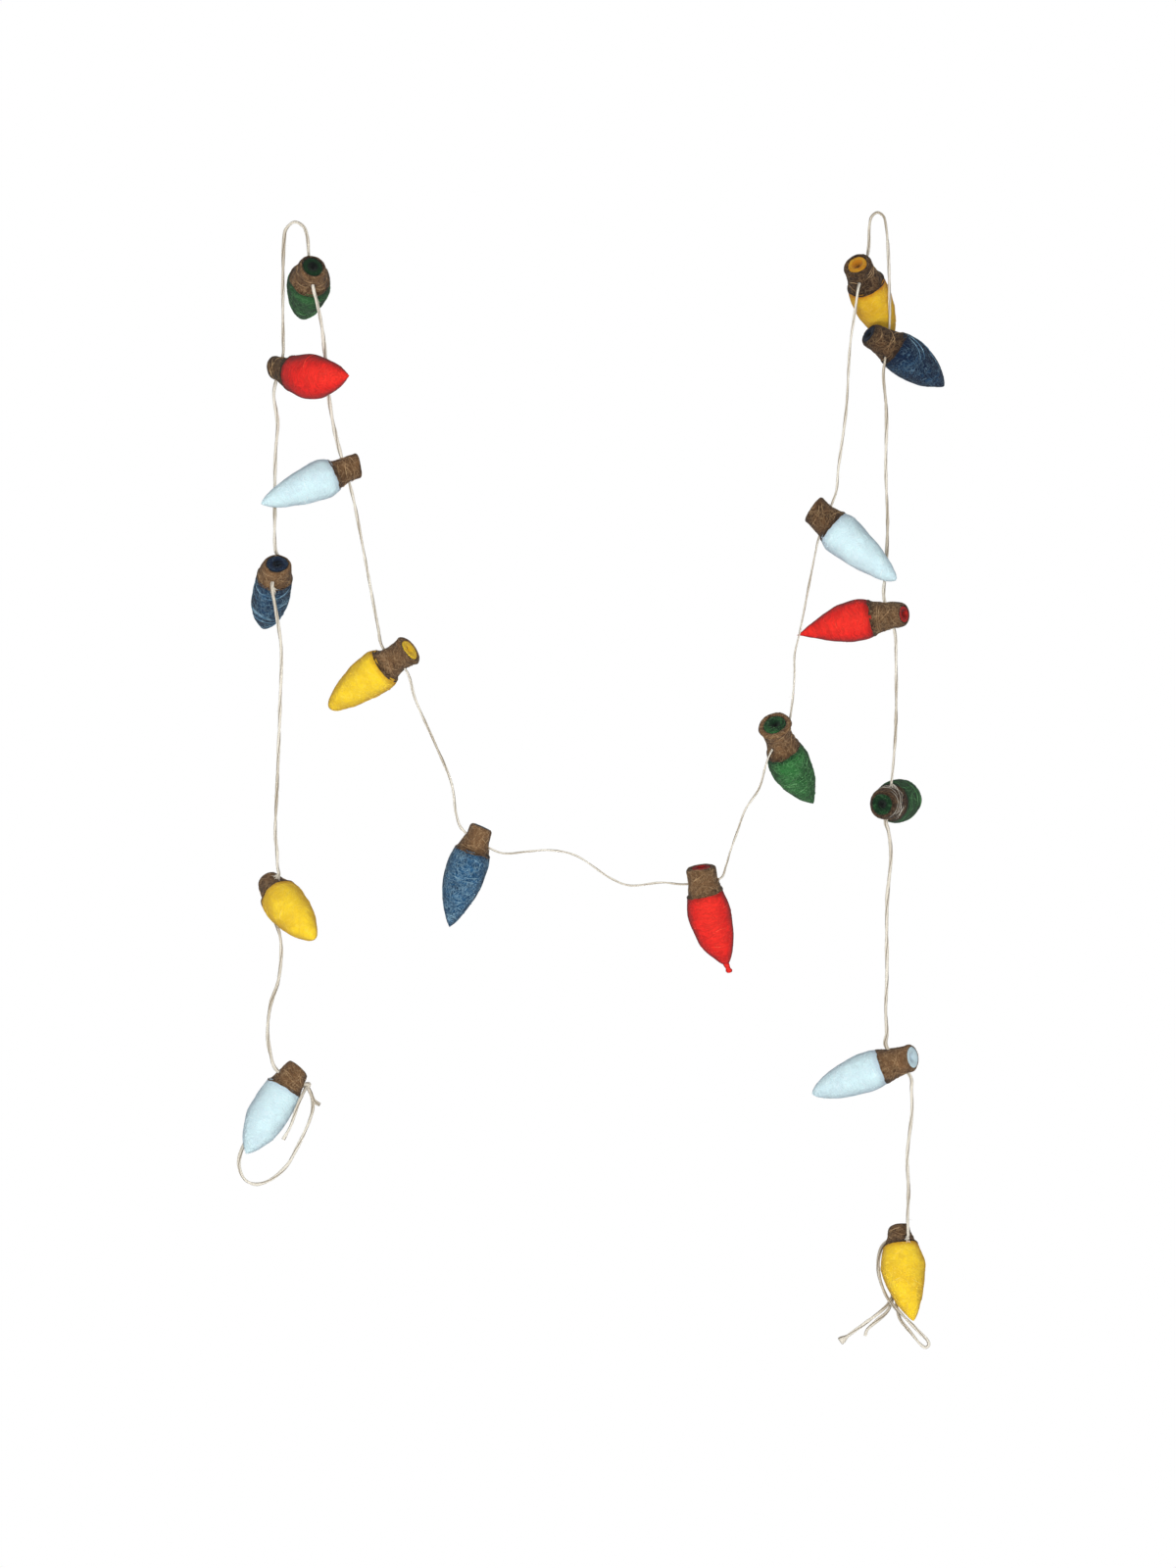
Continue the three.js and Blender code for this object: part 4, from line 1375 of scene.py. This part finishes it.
    def lock_route(self, lock: Lock) -> list[Vector]:
        """Lays a lock of wool over the body or the cap.

        Args:
            lock: The lock.

        Returns:
            The points that it follows.
        """
        outline = self.cap_radius if lock.on_cap else self.body_radius
        route = []
        for step in range(LOCK_STEPS):
            share = step / (LOCK_STEPS - 1)
            sway = lock.sway * math.sin(share * math.pi)
            distance = lock.start[0] + (lock.stop[0] - lock.start[0]) * share + sway
            angle = lock.start[1] + (lock.stop[1] - lock.start[1]) * share
            point, outward = self.surface(outline(distance), distance, angle)
            route.append(point + outward * LOCK_LIFT)
        return route

    def scattered_locks(self, on_cap: bool) -> list[Lock]:
        """Scatters locks over the cap or the body at random, by a fixed seed.

        Args:
            on_cap: True for the cap.

        Returns:
            The locks.
        """
        shape = self.shape
        chance = random.Random(self.number * 2 + on_cap)
        if on_cap:
            count = CAP_LOCKS * shape.shaggy**2
            low, high = CAP_MARGINS[0], shape.cap - CAP_MARGINS[1]
        else:
            count = BODY_LOCKS * shape.wispy**2 - BARE_LOCKS
            low, high = shape.cap + BODY_START, self.length * BODY_REACH
        locks = []
        for _ in range(max(0, round(count))):
            at, turn = chance.uniform(low, high), chance.uniform(-STRAY_TURN, STRAY_TURN)
            drop, reach = chance.uniform(-STRAY_DROP, STRAY_DROP), chance.uniform(*STRAY_REACH)
            stop = min(max(at + drop * (1 + shape.shaggy * on_cap), low), high)
            sway = min(chance.uniform(-STRAY_SWAY, STRAY_SWAY), high - max(at, stop))
            sway = max(sway, low - min(at, stop))
            locks.append(Lock(self.number, on_cap, (at, turn), (stop, turn + reach), sway))
        return locks

    def felted(
        self, on_cap: bool, outline: Sequence[Sample], felt: Felt, loose: float, tone: float
    ) -> list[Piece]:
        """Builds the body or cap with its loose wool, ties the pieces to the root, hides its part.

        Args:
            on_cap: True for the cap.
            outline: The outline that it is turned from.
            felt: Its wool.
            loose: How much loose wool lies on it, 1 for the usual amount.
            tone: How much it is darkened towards the shade colour, by darker dye and painted shade.

        Returns:
            The pieces that were made.
        """
        wardrobe = self.wardrobe
        node = f"bulb_{self.number:02d}_" + ("cap" if on_cap else "body")
        mesh = self.turned(node + "_felt", outline, on_cap, tone)
        self.shade_hollows(mesh)
        mesh.materials.append(wardrobe.felts[felt])
        surface = linked(mesh.name, mesh)
        values = LOOSE_WOOL[felt].inputs(wardrobe.fibres[felt], self.number, loose)
        fibres = grown(node + "_wool", mesh, wardrobe.loose_wool, values)
        placed = [lock for lock in LOCKS if lock.bulb == self.number and lock.on_cap == on_cap]
        routes = [self.lock_route(lock) for lock in placed + self.scattered_locks(on_cap)]
        if on_cap and self.shape.tangled:
            strands, values = "jute", {"Width": TANGLE_WIDTH, "Wool": wardrobe.jute}
        else:
            strands, values = felt.value, {"Width": LOCK_WIDTH, "Wool": wardrobe.fibres[felt]}
        curve = poly_curve(node + "_lock_routes", routes)
        locks = grown(node + "_locks", curve, wardrobe.locks, values)
        for piece, slot in ((surface, felt.value), (fibres, felt.value), (locks, strands)):
            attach(piece, "root")
            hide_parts(node)
        return [surface, fibres, locks]

    def dress(self) -> list[Piece]:
        """Builds the bulb's body and cap.

        Returns:
            The pieces that were made.
        """
        shape = self.shape
        # Body and cap are darkened as a whole: partly a darker dye, partly painted shade.
        body = self.felted(False, self.body_outline(), shape.felt, shape.wispy, shape.tone)
        return body + self.felted(True, self.cap_outline(), Felt.BROWN, shape.shaggy, shape.cap_dye_and_shade_tone)


# Jute twine


def step_count(start: Vector, stop: Vector) -> int:
    """Returns how many steps the twine takes between two of its points."""
    return max(1, math.ceil((stop - start).length / TWINE_STEP))


def smooth_route(points: Sequence[Vector]) -> list[Vector]:
    """Lays a centripetal Catmull-Rom curve through points.

    Args:
        points: The points that the curve passes.

    Returns:
        The curve's points, closely spaced.
    """
    padded = [points[0] * 2 - points[1], *points, points[-1] * 2 - points[-2]]
    route = []
    for before, start, stop, after in zip(padded, padded[1:], padded[2:], padded[3:]):
        knots = [0.0]
        for one, two in ((before, start), (start, stop), (stop, after)):
            knots.append(knots[-1] + max(1e-6, (two - one).length) ** 0.5)
        count = step_count(start, stop)
        for step in range(count):
            now = knots[1] + (knots[2] - knots[1]) * step / count
            level = [before, start, stop, after]
            for reach in (1, 2):
                level = [
                    one.lerp(two, (now - knots[i]) / (knots[i + reach] - knots[i]))
                    for i, (one, two) in enumerate(zip(level, level[1:]))
                ]
            share = (now - knots[1]) / (knots[2] - knots[1])
            route.append(level[0].lerp(level[1], share))
    route.append(points[-1].copy())
    return route


def spread_along(points: Sequence[Vector], values: Sequence[float]) -> list[float]:
    """Spreads one value for each point over the steps of the smooth route through them.

    Args:
        points: The points that the route passes.
        values: A value for each of them.

    Returns:
        A value for each point of the route.
    """
    spread = []
    for start, stop, low, high in zip(points, points[1:], values, values[1:]):
        count = step_count(start, stop)
        spread += [low + (high - low) * step / count for step in range(count)]
    return [*spread, values[-1]]


def route_length(route: Sequence[Vector]) -> float:
    """Returns the length along a route's points."""
    return sum((two - one).length for one, two in zip(route, route[1:]))


class FarEnd(Enum):
    """What a length of twine ends in."""

    KNOT = "knot"
    BARE = "bare"
    OBJECT = "object"


@dataclass
class TwineRun:
    """One length of twine: its route, what it ends in and how far its end is frayed open.

    girths are its widths at the points, as shares of the usual one, where they vary.
    """

    name: str
    points: Sequence[Vector]
    far_end: FarEnd = FarEnd.BARE
    flare: float = 0.0
    girths: Sequence[float] = ()

    def build(self, wardrobe: Wardrobe) -> tuple[Piece, list[Vector]]:
        """Builds the run's mesh.

        Args:
            wardrobe: The finished materials and geometry trees.

        Returns:
            The twine's piece, and the points that its mesh follows.
        """
        route = smooth_route(self.points)
        curve = poly_curve(self.name + "_route", [route])
        girths = self.girths or [LOOSE_END_GIRTH] * len(self.points)
        for target, girth in zip(curve.splines[0].points, spread_along(self.points, girths)):
            target.radius = girth
        values = {"Width": TWINE_WIDTH, "Flare": self.flare, "Jute": wardrobe.jute}
        return grown(self.name, curve, wardrobe.two_ply, values), route


@dataclass(frozen=True)
class Fray:
    """A tuft of jute where the twine meets a cap: the bulb, the end of its bore and its way."""

    bulb: int
    end: int
    way: Triple
    length: float
    strands: int = 16

    def routes(self, bulb: FeltBulb) -> list[list[Vector]]:
        """Draws the tuft's strands, each from its own place, with its own lean and curl.

        Args:
            bulb: The bulb that the tuft belongs to.

        Returns:
            The points that each strand follows.
        """
        chance = random.Random(self.bulb)

        def astray(most: float) -> Vector:
            """Returns a random offset of at most this much each way."""
            return Vector([chance.uniform(-most, most) for _ in range(3)])

        root = bulb.bore_ends()[self.end]
        routes = []
        for _ in range(self.strands):
            start, lean = root + astray(FRAY_SPREAD), Vector(self.way) + astray(FRAY_LEAN)
            curl = astray(FRAY_CURL)
            reach = self.length * chance.uniform(*FRAY_REACH)
            shares = [step / FRAY_STEPS for step in range(FRAY_STEPS + 1)]
            routes.append([start + lean * reach * share + curl * share**2 for share in shares])
        return routes


FRAYS = (
    Fray(17, 0, (-0.25, -0.5, -0.9), 0.005, 24),
    Fray(2, 1, (-0.6, -0.6, -0.4), 0.0035),
    Fray(3, 0, (0.2, -0.3, -1.0), 0.003, 10),
    Fray(15, 0, (0.1, -0.5, -0.8), 0.0075, 20),
    Fray(15, 1, (-0.2, -0.7, 0.9), 0.006, 14),
)


@dataclass
class JuteTwine:
    """The garland's twine: its long run through every cap, two knots, loops and cut ends."""

    bulbs: Sequence[FeltBulb]
    wardrobe: Wardrobe

    def long_run(self) -> tuple[list[Vector], list[float]]:
        """Threads the twine through every cap, from the first knot to the last.

        Returns:
            The long run's points and its girth at each of them.
        """
        points, girths = [], []
        for place, bulb in enumerate(self.bulbs):
            strand = STRANDS[place] if place < len(STRANDS) else Strand(STRANDS[-1].girth, ())
            points += bulb.bore_ends() + [Vector(point) for point in strand.points]
            girths += [STRANDS[max(place - 1, 0)].girth]
            girths += [strand.girth] * (len(strand.points) + 1)
        first, last = self.bulbs[0], self.bulbs[-1]
        points[0] = first.beside_bore(-self.knot_reach(first))
        points[-1] = last.beside_bore(self.knot_reach(last))
        return points, girths

    @staticmethod
    def knot_reach(bulb: FeltBulb) -> float:
        """Returns how far a stopping knot lies from the middle of a bulb's bore."""
        return bulb.shape.waist / 2 + CLEARANCE + KNOT_RADIUS

    def knot(self, name: str, centre: Vector) -> Piece:
        """Builds a pulled-tight overhand knot, on the curve that a three-lobed knot follows.

        Args:
            name: Name of the piece.
            centre: The knot's middle.

        Returns:
            The knot's piece.
        """
        points = []
        for step in range(KNOT_STEPS):
            turn = step * TURN / (KNOT_STEPS - 1)
            across = math.sin(turn) + 2 * math.sin(2 * turn)
            height = math.cos(turn) - 2 * math.cos(2 * turn)
            lobe = Vector((across, -KNOT_DEPTH * math.sin(3 * turn), height))
            points.append(centre + lobe * (KNOT_RADIUS / KNOT_LOBES))
        return TwineRun(name, points).build(self.wardrobe)[0]

    def stray_hairs(self, twine: Piece) -> Piece:
        """Builds the jute hairs that stand off the long run."""
        values = TWINE_HAIRS.inputs(self.wardrobe.jute)
        return grown("twine_stray_hairs", twine.data.copy(), self.wardrobe.loose_wool, values)

    def tufts(self) -> Piece:
        """Builds the frayed tufts where the twine goes into a cap.

        Returns:
            The tufts' piece.
        """
        routes = [route for fray in FRAYS for route in fray.routes(self.bulbs[fray.bulb - 1])]
        curve = poly_curve("twine_tuft_routes", routes)
        values = {"Width": FRAY_WIDTH, "Wool": self.wardrobe.jute}
        return grown("twine_tufts", curve, self.wardrobe.locks, values)

    @staticmethod
    def tied(knot: Vector, points: Sequence[Triple], back: bool = False) -> list[Vector]:
        """Returns a route that leaves a knot, and goes back to it if asked."""
        return [knot, *(Vector(point) for point in points), *([knot] if back else [])]

    @staticmethod
    def stand_for_twine(piece: Piece) -> None:
        """Makes a piece ride with the part and stand for its twine.

        Args:
            piece: A piece of jute.
        """
        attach(piece, "root")
        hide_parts("twine")

    def dress(self) -> list[Piece]:
        """Builds the twine's runs and knots, and logs each run's length.

        Returns:
            The pieces that were made.
        """
        points, girths = self.long_run()
        left, right = points[0], points[-1]
        runs = (
            TwineRun("twine_garland", points, FarEnd.KNOT, girths=girths),
            TwineRun("twine_left_hang_loop", self.tied(left, LEFT_LOOP, True), FarEnd.OBJECT),
            TwineRun("twine_right_hang_loop", self.tied(right, RIGHT_LOOP, True), FarEnd.OBJECT),
            TwineRun("twine_right_long_end", self.tied(right, RIGHT_TAIL_LONG), flare=1.2),
            TwineRun("twine_right_short_end", self.tied(right, RIGHT_TAIL_SHORT), flare=0.1),
        )
        short = (
            TwineRun("twine_left_cut_end", self.tied(left, LEFT_TAIL), flare=0.15),
            TwineRun("twine_left_stub", self.tied(left, LEFT_STUB), flare=0.1),
        )
        trimmings = [run.build(self.wardrobe)[0] for run in short]
        trimmings.append(self.knot("twine_left_knot", left))
        trimmings.append(self.knot("twine_right_knot", right))
        built = [run.build(self.wardrobe) for run in runs]
        trimmings.append(self.stray_hairs(built[0][0]))
        trimmings.append(self.tufts())
        for run, (piece, route) in zip(runs, built):
            self.stand_for_twine(piece)
            LOG.info("%s is %.0f mm long", piece.name, route_length(route) * 1000)
        for piece in trimmings:
            self.stand_for_twine(piece)
        return [piece for piece, _ in built] + trimmings


# Studio


@dataclass(frozen=True)
class SoftBox:
    """A square studio light: where it stands, what it faces, its side and its power."""

    name: str
    place: Triple
    aim: Triple
    side: float
    watts: float

    def build(self) -> None:
        """Adds the light to the scene."""
        data = bpy.data.lights.new(self.name, "AREA")
        data.shape = "SQUARE"
        data.size = self.side
        data.energy = self.watts
        lamp = linked(self.name, data)
        lamp.location = self.place
        way = Vector(self.aim) - Vector(self.place)
        lamp.rotation_euler = way.to_track_quat("-Z", "Y").to_euler()


@dataclass
class Studio:
    """A straight-on camera, a white surround and soft light that comes mostly from below."""

    floor_height: float = -0.9
    floor_reach: float = 12.0
    ambient: float = 0.42

    def camera(self) -> None:
        """Adds the camera, which sees the whole picture at the garland's own plane."""
        data = bpy.data.cameras.new("camera")
        data.lens = data.sensor_width * CAMERA_DISTANCE / (IMAGE_HEIGHT * METRES_PER_PIXEL)
        data.clip_end = CAMERA_REACH
        camera = linked("camera", data)
        across = (IMAGE_WIDTH / 2 - ORIGIN_PIXEL[0]) * METRES_PER_PIXEL
        height = (ORIGIN_PIXEL[1] - IMAGE_HEIGHT / 2) * METRES_PER_PIXEL
        camera.location = (across, -CAMERA_DISTANCE, height)
        camera.rotation_euler = (math.pi / 2, 0.0, 0.0)
        bpy.context.scene.camera = camera

    def surround(self) -> None:
        """Makes the world white to the eye and softer as a light."""
        world = bpy.data.worlds.new("studio")
        graph = Graph.cleared(world)
        seen = graph.add("ShaderNodeLightPath").outputs["Is Camera Ray"]
        strength = graph.spread(seen, 0.0, 1.0, self.ambient, 1.0)
        glow = graph.add("ShaderNodeBackground", {"Color": WHITE, "Strength": strength})
        graph.add("ShaderNodeOutputWorld", {"Surface": glow.outputs[0]})
        bpy.context.scene.world = world

    def floor(self) -> None:
        """Adds a plain white floor well below the garland."""
        made = bpy.data.materials.new("white_floor")
        graph = Graph.cleared(made)
        seen = graph.add("ShaderNodeLightPath").outputs["Is Camera Ray"]
        paint = graph.add("ShaderNodeBsdfDiffuse", {"Color": FLOOR_WHITE}).outputs[0]
        glow = graph.add("ShaderNodeEmission", {"Color": WHITE}).outputs[0]
        both = graph.add("ShaderNodeMixShader", {0: seen, 1: paint, 2: glow})
        graph.add("ShaderNodeOutputMaterial", {"Surface": both.outputs[0]})
        mesh = bpy.data.meshes.new("floor")
        far, height = self.floor_reach, self.floor_height
        corners = [(x * far, y * far, height) for x, y in ((-1, -1), (1, -1), (1, 1), (-1, 1))]
        mesh.from_pydata(corners, [], [(0, 1, 2, 3)])
        mesh.materials.append(made)
        linked("floor", mesh)

    def build(self) -> None:
        """Builds the whole studio."""
        self.camera()
        self.surround()
        self.floor()
        middle = (0.15, 0.0, -0.3)
        SoftBox("key", (-0.3, -1.9, -1.15), middle, side=0.9, watts=82.0).build()
        SoftBox("fill", (0.5, -2.6, -0.2), middle, side=1.2, watts=27.0).build()
        bpy.context.scene.view_settings.view_transform = "Standard"


def main() -> None:
    """Builds the studio, the twine and the bulbs, and logs each piece."""
    logging.basicConfig(level=logging.INFO, format="%(name)s: %(message)s")
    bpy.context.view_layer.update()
    Studio().build()
    wardrobe = Wardrobe.filled()
    bulbs = [FeltBulb(shape, number, wardrobe) for number, shape in enumerate(BULBS, 1)]
    made = JuteTwine(bulbs, wardrobe).dress()
    for bulb in bulbs:
        made += bulb.dress()
    for piece in made:
        LOG.info("%s has %d faces", piece.name, len(piece.data.polygons))


if __name__ == "__main__":
    main()
